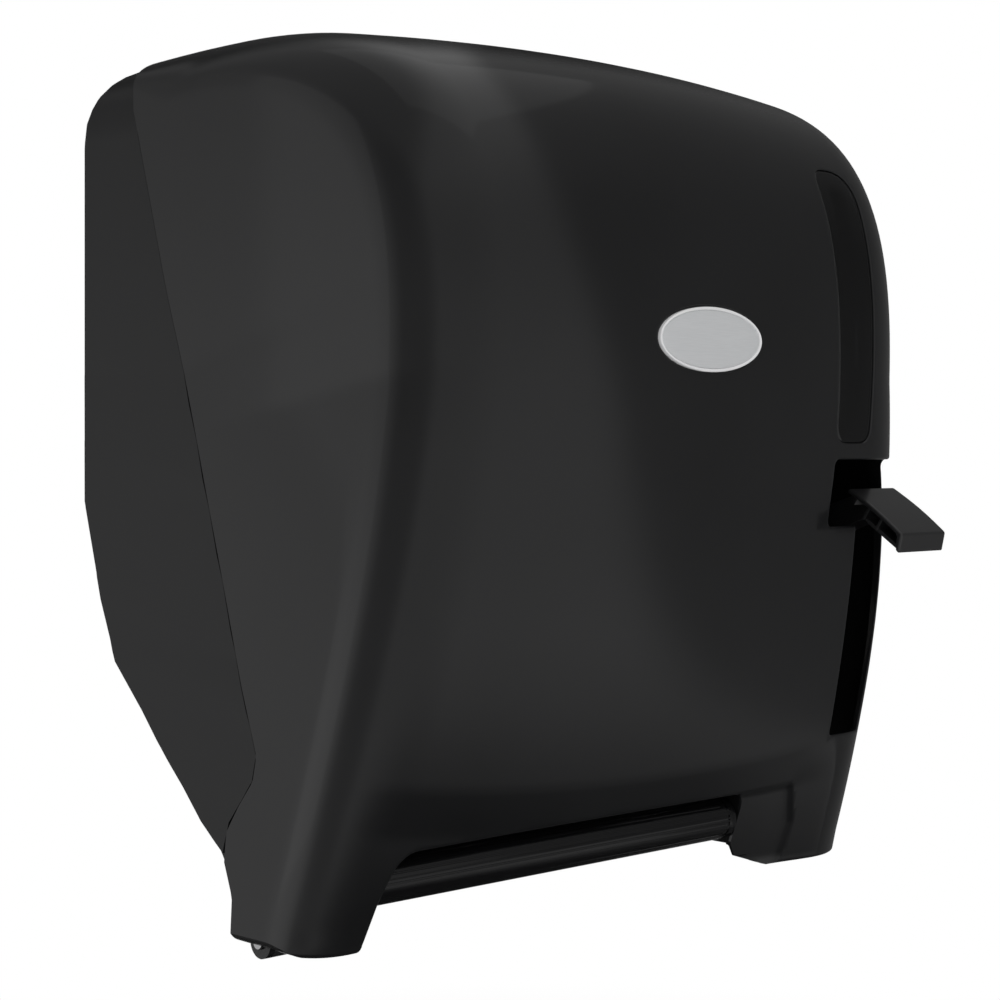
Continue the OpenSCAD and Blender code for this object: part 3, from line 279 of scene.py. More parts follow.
def finish(piece, look, slot, body, *nodes):
    piece.data.materials.clear()
    piece.data.materials.append(finishes[look])
    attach(piece, body)
    if nodes:
        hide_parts(*nodes)
    return piece


cover = {
    "width": 354, "wall": 3, "corner": 36,
    "topMiddle": [(37, 395), (170, 407), (231, 390), (231, 260)],  # depth, height
    "lowMiddle": [(231, 260), (231, 180), (201, 84), (168, 0)],
    "topSide": [(37, 388), (166, 400), (227, 372), (227, 260)],
    "lowSide": [(227, 260), (227, 180), (206, 88), (175, 0)],
    "seam": [(0, 119), (20, 119), (34, 114), (54, 116), (60, 124), (68, 130), (80, 132), (110, 119),
        (189, 91), (282, 60), (364, 37)],  # height, depth
    "seamTop": 364, "tip": 80, "ribsUp": 14, "ribsDown": 22,
    "closeBand": (25, 50), "closeBy": 2,  # heights at which the rear edge lies nearer the housing
    "draft": (-0.017, 0.085, 244),
    "skin": 0.0024,  # deeper faces, in metres, are inside and matt
    "footRound": 2.2, "chinSlope": 0.13, "chinReach": 20,
    "chin": (57, 15, 20, 180), "chinFade": ((-172, -140), (-150, -112)),
}


def bez(p, t):
    u = 1 - t
    weights = (u ** 3, 3 * t * u * u, 3 * t * t * u, t ** 3)
    return tuple(sum(weight * point[i] for weight, point in zip(weights, p)) for i in (0, 1))


def bezWay(p, t):
    u = 1 - t
    way = [u * u * (p[1][i] - p[0][i]) + 2 * t * u * (p[2][i] - p[1][i]) + t * t * (p[3][i] - p[2][i])
        for i in (0, 1)]
    length = math.hypot(*way)
    return way[0] / length, way[1] / length


# A rib's place on one outline: level runs 0..1 down to the bulge and 1..2 on to the feet
def onOutline(top, low, level, t):
    curve, at = (top, level) if level <= 1 else (low, level - 1)
    p, way = bez(curve, at), bezWay(curve, at)
    return p[0] + t * way[1], p[1] - t * way[0]


def lookup(pairs, value):
    if value <= pairs[0][0]:
        return pairs[0][1]
    for (a, u), (b, v) in zip(pairs, pairs[1:]):
        if value <= b:
            return u + (v - u) * (value - a) / (b - a)
    return pairs[-1][1]


def halfWidth(depth, height):
    foot, top, reach = cover["draft"]
    return cover["width"] / 2 - (foot + (top - foot) * min(1, max(0, height / reach))) * depth


def ribLevel(rib):
    up, down = cover["ribsUp"], cover["ribsDown"]
    return rib / up if rib <= up else 1 + (rib - up) / down


# Rear end of each rib: down the seam to its tip, then round the tip to the feet
def seamSpots():
    last = cover["ribsUp"] + cover["ribsDown"]
    sides = [onOutline(cover["topSide"], cover["lowSide"], ribLevel(rib), 0) for rib in range(last + 1)]
    count = sum(1 for side in sides if side[1] > cover["tip"] - 8)
    heights = []
    for rib in range(last + 1):
        if rib < count:
            heights.append(cover["seamTop"] + (cover["tip"] - cover["seamTop"]) * rib / (count - 1))
        else:
            heights.append(cover["tip"] * ((last - rib) / (last + 1 - count)) ** 0.8)
    low, high = cover["closeBand"]
    return [(lookup(cover["seam"], height) - (cover["closeBy"] if low < height < high else 0), height)
        for height in heights]


seamLine = seamSpots()


def seamEnd(level):
    rib = level * cover["ribsUp"] if level <= 1 else cover["ribsUp"] + (level - 1) * cover["ribsDown"]
    low = min(int(rib), len(seamLine) - 2)
    return tuple(a + (b - a) * (rib - low) for a, b in zip(seamLine[low], seamLine[low + 1]))


# One point of a rib. along: 0..1 from the seam to the corner, 1..2 round it, 2..3 to the middle
def ribPoint(level, along, t, back):
    mid = onOutline(cover["topMiddle"], cover["lowMiddle"], level, t)
    side = onOutline(cover["topSide"], cover["lowSide"], level, t)
    rear = seamEnd(level)
    if level == 0:
        mid, side = (mid[0] - back, mid[1]), (side[0] - back, side[1])
    p = (halfWidth(*side) - t, *side)
    b = (halfWidth(*rear) - t, rear[0] - back, rear[1])
    radius = cover["corner"] - t
    f = 1 - radius / p[0]
    length = math.dist(b, p)
    pull = min(0.6, radius / length)
    a = [p[i] + (b[i] - p[i]) * pull for i in range(3)]
    if along <= 1:
        return [b[i] + (a[i] - b[i]) * along for i in range(3)]
    g = (p[0] * f, mid[0] + (p[1] - mid[0]) * f * f, mid[1] + (p[2] - mid[1]) * f * f)
    if along <= 2:
        s = along - 1
        return [(1 - s) ** 2 * a[i] + 2 * s * (1 - s) * p[i] + s * s * g[i] for i in range(3)]
    s = f * (3 - along)
    return [p[0] * s, mid[0] + (p[1] - mid[0]) * s * s, mid[1] + (p[2] - mid[1]) * s * s]


# Height of the chin line: lowest near the middle, and higher toward both sides
def chinLine(x):
    lowest, rise, at, reach = cover["chin"]
    return lowest + rise * ((x - at) / reach) ** 2


def soft(value, low, high):
    t = min(1, max(0, (value - low) / (high - low)))
    return t * t * (3 - 2 * t)


# The front falls back below the chin line
def relief(x, height):
    left, right = cover["chinFade"]
    fade = soft(x, *left) * soft(-x, *right)
    return fade * cover["chinSlope"] * min(cover["chinReach"], max(0, chinLine(x) - height))


# The level at which one column of ribs passes a height
def levelAt(along, side, t, back, height):
    low, high = 1, 2
    for _ in range(18):
        middle = (low + high) / 2
        x, _, z = ribPoint(middle, along, t, back)
        low, high = (middle, high) if z > height(side * x) else (low, middle)
    return (low + high) / 2


def coverForm(name, t, back, rows, across, fine=False):
    alongs = [n / across[0] for n in range(across[0])] + [1 + n / across[1] for n in range(across[1])]
    alongs += [2 + n / across[2] for n in range(across[2] + 1)]
    foot = cover["footRound"]
    columns = []
    for side, order in ((1, alongs), (-1, list(reversed(alongs[:-1])))):
        for along in order:
            chin = levelAt(along, side, t, back, chinLine)
            sole = levelAt(along, side, t, back, lambda x: foot) if fine else 2
            levels = [n / rows[0] for n in range(rows[0])]
            levels += [1 + (chin - 1) * n / rows[1] for n in range(rows[1])]
            levels += [chin + (sole - chin) * n / rows[2] for n in range(rows[2] + 1)]
            column = [ribPoint(level, along, t, back) for level in levels]
            column = [(x, d - relief(side * x, z), z) for x, d, z in column]
            if fine:
                for turn in (22.5, 45, 67.5, 90):
                    draw = foot * (1 - math.cos(math.radians(turn)))
                    x, d, z = ribPoint(sole, along, t + draw, back)
                    column.append((x, d - relief(side * x, 0), foot * (1 - math.sin(math.radians(turn)))))
            columns.append([(side * x, d, z) for x, d, z in column])
    return loft(name, [[spot(*column[r]) for column in columns] for r in range(len(columns[0]))])


coverShell = coverForm("coverShell", 0.12, 0, (46, 52, 26), (12, 20, 52), fine=True)
coverHollow = coverForm("hollow", cover["wall"], 2, (20, 20, 12), (6, 10, 24))
coverFace = BVHTree.FromObject(coverShell, bpy.context.evaluated_depsgraph_get())
print("cover forms:", len(coverShell.data.polygons), len(coverHollow.data.polygons))


# Depth of the cover's outer face where it is met from straight ahead
def faceDepth(x, height):
    x, height = max(-166, min(166, x)), max(3.5, height)
    hit = coverFace.ray_cast(spot(x, 400, height), Vector((0, 1, 0)))[0]
    return -hit.y * 1000


# An outline with rounded corners, each given as x, height and radius, anticlockwise from the front
def rounded(corners, steps=7, spacing=2.5):
    points = []
    for i, (x, z, radius) in enumerate(corners):
        here = Vector((x, z))
        before, after = Vector(corners[i - 1][:2]), Vector(corners[(i + 1) % len(corners)][:2])
        into, out = (before - here).normalized(), (after - here).normalized()
        half = into.angle(out) / 2
        reach = radius / math.tan(half)
        start, end = here + into * reach, here + out * reach
        points += [(1 - s) ** 2 * start + 2 * s * (1 - s) * here + s * s * end
            for s in [k / steps for k in range(steps + 1)]]
    dense = []
    for a, b in zip(points, points[1:] + points[:1]):
        count = max(1, math.ceil((b - a).length / spacing))
        dense += [a.lerp(b, k / count) for k in range(count)]
    return dense


def grown(outline, growth):
    count = len(outline)
    result = []
    for i, point in enumerate(outline):
        way = (outline[(i + 1) % count] - outline[i - 1]).normalized()
        result.append(point + growth * Vector((way.y, -way.x)))
    return result


# The nearest point of an upright line, given as x and its two heights
def onSpine(spine, p):
    x, low, high = spine
    return Vector((x, max(low, min(high, p.y))))


# A solid that stands on the cover's face: each step of its profile is a growth of the outline and either
# a height over the face or, where it is over 100, a depth from the wall
def onFace(name, outline, profile, spine=None, rings=0):
    loops = []
    for growth, rise in profile:
        loop = grown(outline, growth)
        loops.append([spot(p.x, rise if rise > 100 else faceDepth(p.x, p.y) + rise, p.y) for p in loop])
    growth, rise = profile[-1]
    last = grown(outline, growth)
    for n in range(1, rings):
        loop = [onSpine(spine, p).lerp(p, 1 - n / rings) for p in last]
        loops.append([spot(p.x, faceDepth(p.x, p.y) + rise, p.y) for p in loop])
    return loft(name, loops)


# A round-over of the given radius that leads into a cut
def roundOver(radius, depth=150, steps=5):
    turns = [math.pi / 2 * k / steps for k in range(steps + 1)]
    curve = [(radius * (1 - math.sin(a)), 0.03 - radius * (1 - math.cos(a))) for a in turns[1:]]
    return [(radius + 0.4, 9), (radius, 0.03)] + curve + [(0, depth)]


openings = {
    "window": [(94, 344, 9), (96.6, 212, 9), (123.2, 212, 8), (125.2, 344, 17)],
    "recess": [(98, 204, 3.5), (98, 172, 4), (120.6, 172, 2), (133, 66, 2.5), (160, 66, 3),
        (159.8, 204, 4.5)],
    "exit": [(-168, -6, 0.5), (122, -6, 0.5), (117, -0.4, 8), (90, 8, 3), (84, 15, 3), (84, 41, 8),
        (-137.5, 41, 15), (-145.2, 21, 4), (-149.3, -0.3, 6), (-168, -0.3, 0.5)],
    "scoop": [(70, -8, 1), (123, -8, 2), (125, 22, 8), (117.5, 43.2, 6), (70, 42.2, 2)],
    "scoopSteps": [(0.6, 6), (0.05, 0.03), (-1.0, -0.5), (-2.2, -1.2), (-3.6, -1.5)],  # growth, rise
    "scoopSpine": (98, 10, 32),
    "windowRound": 0.9, "recessRound": 1.5, "exitRound": 1.6,
}
windowLine = rounded(openings["window"])
recessLine = rounded(openings["recess"])
exitLine = rounded(openings["exit"])
scoopLine = rounded(openings["scoop"])


def frontSlab(name, outline, d0, d1):
    return loft(name, [[spot(x, d, z) for x, z in outline] for d in (d1, d0)])


feet = {
    "floor": 3, "exitLeft": (-137, -149), "exitRight": 84, "exitTop": 41, "top": 44, "hingeDepth": 134,
    "hingeHeight": 2, "middle": 167, "knuckle": 8, "lug": 3, "lugGap": 0.3, "lugRadius": 7, "pin": 3.05,
    "guard": (166, 28, 11.1), "rodLeft": -154, "rod": 3, "footCorner": 8.5, "outer": 180,
    "lugRoot": [(150, 2), (150, 15.9), (146, 15.9), (137, 12)],
    "openFrom": (114, -1), "openTo": (141, 164, 5),  # the gap in the right sole, beside the exit
    "roomFrom": (60, -1), "roomTo": (146, 16), "pinReach": 9,
    "rightWall": [(231, -1), (176, -1), (174, 5), (168, 15), (157, 15), (152, 20), (152, 44), (231, 44)],
}


def footLine(height):
    top, low = feet["exitLeft"]
    return top + (low - top) * (feet["exitTop"] - height) / feet["exitTop"]


# What stays solid inside the cover: the soles of the feet and the walls beside the exit
boolean(coverHollow, block("sole", (-200, 0, -5), (200, 260, feet["floor"])))
leftWall = frontSlab("leftWall", [(footLine(-1) - 3, -1), (footLine(-1), -1), (footLine(44), 44),
    (footLine(44) - 3, 44)], feet["hingeDepth"] - 13, 240)
boolean(leftWall, rod("guardHole", -180, -110, *feet["guard"]))
boolean(coverHollow, leftWall)
boolean(coverHollow, block("rodWall", (feet["rodLeft"], 152, -2), (feet["rodLeft"] + 3, 240, feet["top"])))
boolean(coverHollow, slab("rightWall", feet["exitRight"], 3, feet["rightWall"]))
boolean(coverShell, coverHollow)
boolean(coverShell, block("openSole", (feet["exitRight"], *feet["openFrom"]), feet["openTo"]))
boolean(coverShell, onFace("scoopTool", scoopLine, openings["scoopSteps"], openings["scoopSpine"], 6))
boolean(coverShell, onFace("exitTool", exitLine, roundOver(openings["exitRound"], 101)))
boolean(coverShell, onFace("recessTool", recessLine, roundOver(openings["recessRound"])))
boolean(coverShell, onFace("windowTool", windowLine, roundOver(openings["windowRound"])))
print("cover cut:", len(coverShell.data.polygons))

badge = {
    "x": 1.5, "height": 258, "width": 68, "tall": 29,
    "seat": 230.2, "face": 231.5, "rim": 232.05,  # depths
    "dome": 0.45, "flat": 12.6,
    "mouth": [(2.6, 240), (1.75, 231.0), (1.3, 230.86), (1.0, 230.5)],  # growth, depth
}


def oval(growth, count=96):
    wide, tall = badge["width"] / 2 + growth, badge["tall"] / 2 + growth
    turns = [2 * math.pi * k / count for k in range(count)]
    return [Vector((badge["x"] + wide * math.cos(a), badge["height"] + tall * math.sin(a))) for a in turns]


def ovalRings(steps):
    return [[spot(p.x, depth, p.y) for p in oval(growth)] for growth, depth in steps]


boolean(coverShell, loft("badgeTool", ovalRings(badge["mouth"] + [(0.9, badge["seat"])])))


# The feet: a rounded lower edge outside, room for the bracket, two lugs and the bores of the pins
def roundFoot(side):
    r, outer = feet["footCorner"], feet["outer"]
    turns = [math.radians(90 * k / 8) for k in range(9)]
    arc = [(side * (outer - r + r * math.cos(a)), r - r * math.sin(a)) for a in turns]
    outside = [(side * (outer - r), -1), (side * (outer + 3), -1), (side * (outer + 3), r)]
    boolean(coverShell, frontSlab("footCorner", outside + arc, 60, 240))


for side in (-1, 1):
    roundFoot(side)
    x = side * feet["middle"]
    reach = feet["knuckle"] / 2 + feet["lug"] + 1
    boolean(coverShell, block("bracketRoom", (x - reach, *feet["roomFrom"]), (x + reach, *feet["roomTo"])))
    hinge = (feet["hingeDepth"], feet["hingeHeight"])
    turns = [math.radians(a) for a in range(150, 391, 10)]
    nose = [(hinge[0] + feet["lugRadius"] * math.cos(a), hinge[1] + feet["lugRadius"] * math.sin(a))
        for a in turns]
    for way in (-1, 1):
        at = x + way * (feet["knuckle"] + feet["lug"] + feet["lugGap"]) / 2 - feet["lug"] / 2
        boolean(coverShell, slab("lug", at, feet["lug"], nose + feet["lugRoot"]), "UNION")
    ends = x - feet["pinReach"], x + feet["pinReach"]
    boolean(coverShell, rod("pinHole", *ends, *hinge, feet["pin"], sides=40))
ends = feet["rodLeft"] - 1, feet["exitRight"] + 4
boolean(coverShell, rod("rodHole", *ends, *feet["guard"][:2], feet["rod"], sides=40))


# A hole straight down through the top, for the lock
def lockBore(name, radius, length, height):
    clearSelection()
    bpy.ops.mesh.primitive_cylinder_add(vertices=64, radius=radius / 1000, depth=length / 1000,
        location=spot(0, 64, height))
    boolean(coverShell, settle(bpy.context.object, name))


lockBore("lockHole", 9, 80, 395)
lockBore("lockSeat", 11.3, 20, 408.2)
smooth(coverShell, 28)
finish(coverShell, "coverBlack", "shell", "cover", "front_cover")
coverShell.data.materials.append(finishes["insideBlack"])
for face in coverShell.data.polygons:
    if coverFace.find_nearest(face.center)[3] > cover["skin"]:
        face.material_index = 1
print("cover finished:", len(coverShell.data.polygons))


# Sight window: a smoked lens that follows the face, with a flange behind it
lens = {
    "sink": 0.6, "thick": 2.5, "gap": 0.2, "edge": 0.5, "flange": 3.6, "flangeDepth": (3.15, 4.55),
    "spine": (109.5, 228, 330),
}


def lensRings(outline, front, back, edge, growth, steps=6):
    middles = [onSpine(lens["spine"], p) for p in outline]

    def loop(share, growth, rise):
        line = [m.lerp(p, share) for m, p in zip(middles, grown(outline, growth))]
        return [spot(p.x, faceDepth(p.x, p.y) + rise, p.y) for p in line]

    shares = [(n / steps) ** 0.6 for n in range(1, steps + 1)]
    loops = [loop(share, growth, -back) for share in shares]
    loops += [loop(1, growth, -front - edge), loop(1, growth - 0.3 * edge, -front - 0.3 * edge)]
    return loops + [loop(share, growth - edge, -front) for share in reversed(shares)]


front, back = lens["sink"], lens["sink"] + lens["thick"]
windowLens = join("windowLens", [
    loft("lensFront", lensRings(windowLine, front, back, lens["edge"], -lens["gap"])),
    loft("lensFlange", lensRings(windowLine, *lens["flangeDepth"], 0.1, lens["flange"]))])
smooth(windowLens, 40)
finish(windowLens, "smokedWindow", "smoked_window", "cover", "sight_window")


# Badge: a bare brushed oval with a slight dome in a bright rim
turns = [math.pi / 2 * k / 6 for k in range(7)]
dome = [(-1.6 - badge["flat"] * (1 - math.cos(a)), badge["face"] + badge["dome"] * math.sin(a))
    for a in turns]
badgeFace = loft("badgeFace", ovalRings([(-1.55, badge["seat"]), (-1.55, badge["face"] - 0.15)] + dome))
smooth(badgeFace, 50)
finish(badgeFace, "brushedSilver", "badge", "cover", "badge_plate")
low, top = badge["seat"], badge["rim"]
badgeRim = loft("badgeRim", ovalRings([(-1.5, low), (0, low), (0, top - 0.5), (-0.15, top - 0.2),
    (-0.45, top), (-0.85, top), (-1.2, top - 0.2), (-1.5, top - 0.7), (-1.5, low)]))
pick(badgeRim)
bpy.ops.object.mode_set(mode="EDIT")
bpy.ops.mesh.select_all(action="DESELECT")
bpy.ops.object.mode_set(mode="OBJECT")
for face in badgeRim.data.polygons:
    face.select = len(face.vertices) > 4
bpy.ops.object.mode_set(mode="EDIT")
bpy.ops.mesh.delete(type="ONLY_FACE")
bpy.ops.object.mode_set(mode="OBJECT")
faceOut(badgeRim)
smooth(badgeRim, 60)
finish(badgeRim, "brightRim", "bright_trim", "cover", "badge_bezel")
print("window and badge ready")


# Lever: the paddle's plate, lip, cheek and ribs on its arm
lever = {
    "x": 122, "width": 36, "back": (214.5, 190.1), "tip": (246, 168.5), "thick": 2.6, "lip": 9, "lean": 3.6,
    "armX": 137, "armWidth": 16, "pivot": (105, 144), "hub": 12, "bore": 5, "edge": 1.15, "sag": 0.9,
}


def onPaddle(along, under):
    back, tip = Vector(lever["back"]), Vector(lever["tip"])
    way = (tip - back).normalized()
    at = back + along * way + under * Vector((way.y, -way.x))
    return at.x, at.y


long = math.dist(lever["back"], lever["tip"])
thick, lip, lean = lever["thick"], lever["lip"], lever["lean"]
sag = [lever["sag"] * math.sin(math.pi * k / 8) for k in range(9)]
plateTop = [onPaddle(long * k / 8, -sag[k] + 0.05) for k in range(9)]
plateLow = [onPaddle(long * k / 8, thick - sag[k]) for k in range(7, -1, -1)]
plateEnd = [onPaddle(long + lean, lip), onPaddle(long + lean - thick, lip), onPaddle(long - thick, thick)]
plate = slab("leverPaddle", lever["x"], lever["width"], plateTop + plateEnd + plateLow, lever["edge"], 4)
under = [onPaddle(long + lean - 1, lip - 0.3), onPaddle(long - 22, lip - 0.3),
    onPaddle(long - 22, lip - 2.3), onPaddle(long + lean - 2, lip - 2.3)]
cheek = [onPaddle(0.4, 1), onPaddle(long - 1.2, 1), onPaddle(long + lean - 1.8, lip - 1),
    onPaddle(long - 21, lip - 1), onPaddle(0.4, 4)]
arm = [(109, 155), onPaddle(0.8, 0.8), onPaddle(8, 1.2), onPaddle(long - 19, lip - 1.4),
    onPaddle(long - 30, lip + 3), (112, 134), (105, 144)]
armEnds = lever["armX"] - 6, lever["armX"] + lever["armWidth"] + 1
parts = [
    slab("under", lever["x"] + 2, lever["width"] - 3, under, 0.3),
    slab("cheek", lever["x"] + lever["width"] - 3.5, 3, cheek, 0.3),
    slab("arm", lever["armX"], lever["armWidth"], arm, 0.8, 3),
    rod("hub", *armEnds, *lever["pivot"], lever["hub"], 0.6)]
for at in (5, 14, 23):
    deep = min(lip - 1, 3 + at / 2)
    rib = [onPaddle(at, 1), onPaddle(at + 1.6, 1), onPaddle(at + 1.6, deep), onPaddle(at, deep)]
    parts.append(slab("rib", lever["x"] + 1, lever["width"] - 3, rib, 0.25))
for part in parts:
    boolean(plate, part, "UNION")
boolean(plate, rod("shaftHole", 117, 213, *lever["pivot"], lever["bore"], sides=48))
smooth(plate, 35)
flatten(plate)
finish(plate, "leverBlack", "moulding", "lever", "lever")


# Guard roller: a polished tube over its rod, open at both ends
guard = {"ends": (-145.2, 77.7), "centre": (166, 28), "radius": 10.5, "bore": 8.9}
guardTube = rod("guardTube", *guard["ends"], *guard["centre"], guard["radius"], sides=96)
for face in guardTube.data.polygons:
    face.select = len(face.vertices) > 4
bpy.ops.object.mode_set(mode="EDIT")
bpy.ops.mesh.inset(thickness=(guard["radius"] - guard["bore"]) / 1000, use_individual=True)
bpy.ops.mesh.bridge_edge_loops()
bpy.ops.object.mode_set(mode="OBJECT")
faceOut(guardTube)
roundEdges(guardTube, 0.35)
smooth(guardTube, 40)
finish(guardTube, "glossBlack", "gloss_roller", "guard_roller", "guard_roller")
print("lever and guard roller ready")


# Every other node: a merged copy of the CAD shape with its edges rounded
dressing = {  # look and width of the rounded edges
    "rear_housing": ("housingBlack", 0.6), "guard_collars": ("glossBlack", 0.4),
    "guard_rod": ("turnedSteel", 0.4), "tear_bar_holder": ("innerBlack", 0.3),
    "tear_blade": ("zincSteel", 0.08), "tear_bar_screws": ("zincSteel", 0.3),
    "lever_shaft": ("turnedSteel", 0.2), "sector_gear": ("whiteNylon", 0.2),
    "lever_spring": ("springSteel", 0), "lever_bushings": ("whiteNylon", 0.25),
    "lever_buffer": ("rubberBlack", 0.5), "shaft_clips": ("zincSteel", 0.12),
    "frame_left": ("innerBlack", 0.4), "frame_right": ("innerBlack", 0.4),
    "gear_plate": ("innerBlack", 0.4), "gear_plate_posts": ("zincSteel", 0.25),
    "housing_screws": ("zincSteel", 0.3), "tie_rods": ("zincSteel", 0.3),
    "feed_shaft": ("turnedSteel", 0.3), "feed_core": ("innerBlack", 0.3),
    "feed_sleeves": ("rubberBlack", 0.4), "feed_bushings": ("whiteNylon", 0.25),
    "drive_pinion": ("whiteNylon", 0.15), "one_way_clutch": ("turnedSteel", 0.3),
    "backstop_clutch": ("turnedSteel", 0.3), "thread_wheel": ("innerBlack", 0.3),
    "pressure_yoke": ("innerBlack", 0.4), "pressure_shaft": ("turnedSteel", 0.3),
    "pressure_roller": ("innerBlack", 0.4), "yoke_pins": ("zincSteel", 0.25),
    "yoke_springs": ("springSteel", 0), "front_guide": ("innerBlack", 0.4),
    "roll_arm_left": ("innerBlack", 0.5), "roll_arm_right": ("innerBlack", 0.5),
    "roll_plug_left": ("whiteNylon", 0.5), "roll_plug_right": ("whiteNylon", 0.5),
    "plug_axle_left": ("turnedSteel", 0.25), "plug_axle_right": ("turnedSteel", 0.25),
    "arm_pin": ("zincSteel", 0.3), "arm_spring": ("springSteel", 0), "lock_barrel": ("chrome", 0.4),
    "lock_plug": ("chrome", 0.25), "lock_cam": ("zincSteel", 0.25), "lock_nut": ("zincSteel", 0.3),
    "lock_keeper": ("zincSteel", 0.3), "hinge_bracket_left": ("innerBlack", 0.4),
    "hinge_bracket_right": ("innerBlack", 0.4), "hinge_screws": ("zincSteel", 0.3),
    "hinge_pins": ("chrome", 0.5),
}
bodyOf = {node: body for body, members in frame["record"]["behaviour"]["bodies"].items() for node in members}
slotOf = {part["node"]: part["material_slot"] for part in frame["record"]["subparts"]}


def camelCase(node):
    first, *rest = node.split("_")
    return first + "".join(word.capitalize() for word in rest)


def dress(node, look, width):
    piece = frame["nodes"][node].copy()
    piece.data = piece.data.copy()
    for key in list(piece.keys()):
        del piece[key]
    bpy.context.scene.collection.objects.link(piece)
    piece.parent = None
    piece.name = piece.data.name = camelCase(node)
    pick(piece)
    bpy.ops.object.mode_set(mode="EDIT")
    bpy.ops.mesh.select_all(action="SELECT")
    bpy.ops.mesh.remove_doubles(threshold=0.000005)
    bpy.ops.mesh.dissolve_limited(angle_limit=math.radians(0.6), delimit=set())
    bpy.ops.object.mode_set(mode="OBJECT")
    if width:
        roundEdges(piece, width, 2, 30)
    smooth(piece, 35)
    if width:
        flatten(piece)
    return finish(piece, look, slotOf[node], bodyOf[node], node)


for node, (look, width) in dressing.items():
    dress(node, look, width)
print("mechanism dressed:", len(dressing), "nodes")


# Floor under the part as it hangs, fading into the white all round. To glossy rays its colour is painted
# dark: a painted shadow near the part and a painted reflection edge past a slanted line
stage = {
    "drop": 300, "radius": 1.1, "fade": (0.45, 1.0), "floor": (0.86, 0.86, 0.87),
    # painted reflection: the floor colour that glossy faces see is painted darker near the part (painted
    # shadow) and dimmer past a slanted line
    "near": (0.35, 0.75), "mirrored": (0.01, 0.21),  # what glossy faces see, by distance
    "slant": (1, 0.74, 0), "edge": (0.05, 0.2), "paintedEdgeLevels": (1, 0.3),  # and dimmer past a slanted edge
}
floorMiddle = spot(0, 120, -stage["drop"])
clearSelection()
bpy.ops.mesh.primitive_circle_add(vertices=96, radius=stage["radius"], fill_type="NGON",
    location=floorMiddle)
floor = settle(bpy.context.object, "floor")
floorMaterial = bpy.data.materials.new("paleFloor")
floorMaterial.use_nodes = True
nodes, links = floorMaterial.node_tree.nodes, floorMaterial.node_tree.links
floorShader = nodes["Principled BSDF"]
floorShader.inputs["Roughness"].default_value = 0.7
place = nodes.new("ShaderNodeTexCoord")
centred = nodes.new("ShaderNodeMapping")
centred.inputs["Location"].default_value = -floorMiddle
links.new(place.outputs["Object"], centred.inputs["Vector"])
distance = nodes.new("ShaderNodeVectorMath")
distance.operation = "LENGTH"
links.new(centred.outputs["Vector"], distance.inputs[0])
fade = nodes.new("ShaderNodeMapRange")
fade.interpolation_type = "SMOOTHSTEP"
fade.inputs["From Min"].default_value, fade.inputs["From Max"].default_value = stage["fade"]
links.new(distance.outputs["Value"], fade.inputs["Value"])
seen = nodes.new("ShaderNodeLightPath")
both = nodes.new("ShaderNodeMath")
both.operation = "MULTIPLY"
links.new(fade.outputs["Result"], both.inputs[0])
links.new(seen.outputs["Is Camera Ray"], both.inputs[1])
# Painted reflection: for glossy rays the floor's base colour is painted dark, darkest near the part as a
# painted shadow and dimmer past a slanted edge
mirrored = nodes.new("ShaderNodeMix")
mirrored.data_type = "RGBA"
mirrored.inputs["A"].default_value = (*stage["floor"], 1)
paintedShadeByDistance = nodes.new("ShaderNodeMapRange")
paintedShadeByDistance.inputs["From Min"].default_value, paintedShadeByDistance.inputs["From Max"].default_value = stage["near"]
paintedShadeByDistance.inputs["To Min"].default_value, paintedShadeByDistance.inputs["To Max"].default_value = stage["mirrored"]
links.new(distance.outputs["Value"], paintedShadeByDistance.inputs["Value"])
side = nodes.new("ShaderNodeVectorMath")
side.operation = "DOT_PRODUCT"
side.inputs[1].default_value = stage["slant"]
links.new(place.outputs["Object"], side.inputs[0])
paintedEdgeStep = nodes.new("ShaderNodeMapRange")
paintedEdgeStep.inputs["From Min"].default_value, paintedEdgeStep.inputs["From Max"].default_value = stage["edge"]
paintedEdgeStep.inputs["To Min"].default_value, paintedEdgeStep.inputs["To Max"].default_value = stage["paintedEdgeLevels"]
links.new(side.outputs["Value"], paintedEdgeStep.inputs["Value"])
paintedReflectionShade = nodes.new("ShaderNodeMath")
paintedReflectionShade.operation = "MULTIPLY"
links.new(paintedShadeByDistance.outputs["Result"], paintedReflectionShade.inputs[0])
links.new(paintedEdgeStep.outputs["Result"], paintedReflectionShade.inputs[1])
links.new(paintedReflectionShade.outputs["Value"], mirrored.inputs["B"])
links.new(seen.outputs["Is Glossy Ray"], mirrored.inputs["Factor"])
links.new(mirrored.outputs["Result"], floorShader.inputs["Base Color"])
white = nodes.new("ShaderNodeEmission")
blend = nodes.new("ShaderNodeMixShader")
links.new(both.outputs["Value"], blend.inputs["Fac"])
links.new(floorShader.outputs["BSDF"], blend.inputs[1])
links.new(white.outputs["Emission"], blend.inputs[2])
mirroredFade = nodes.new("ShaderNodeMath")
mirroredFade.operation = "MULTIPLY"
links.new(fade.outputs["Result"], mirroredFade.inputs[0])
links.new(seen.outputs["Is Glossy Ray"], mirroredFade.inputs[1])
clear = nodes.new("ShaderNodeBsdfTransparent")
faded = nodes.new("ShaderNodeMixShader")
links.new(mirroredFade.outputs["Value"], faded.inputs["Fac"])
links.new(blend.outputs["Shader"], faded.inputs[1])
links.new(clear.outputs["BSDF"], faded.inputs[2])
links.new(faded.outputs["Shader"], nodes["Material Output"].inputs["Surface"])
floor.data.materials.append(floorMaterial)

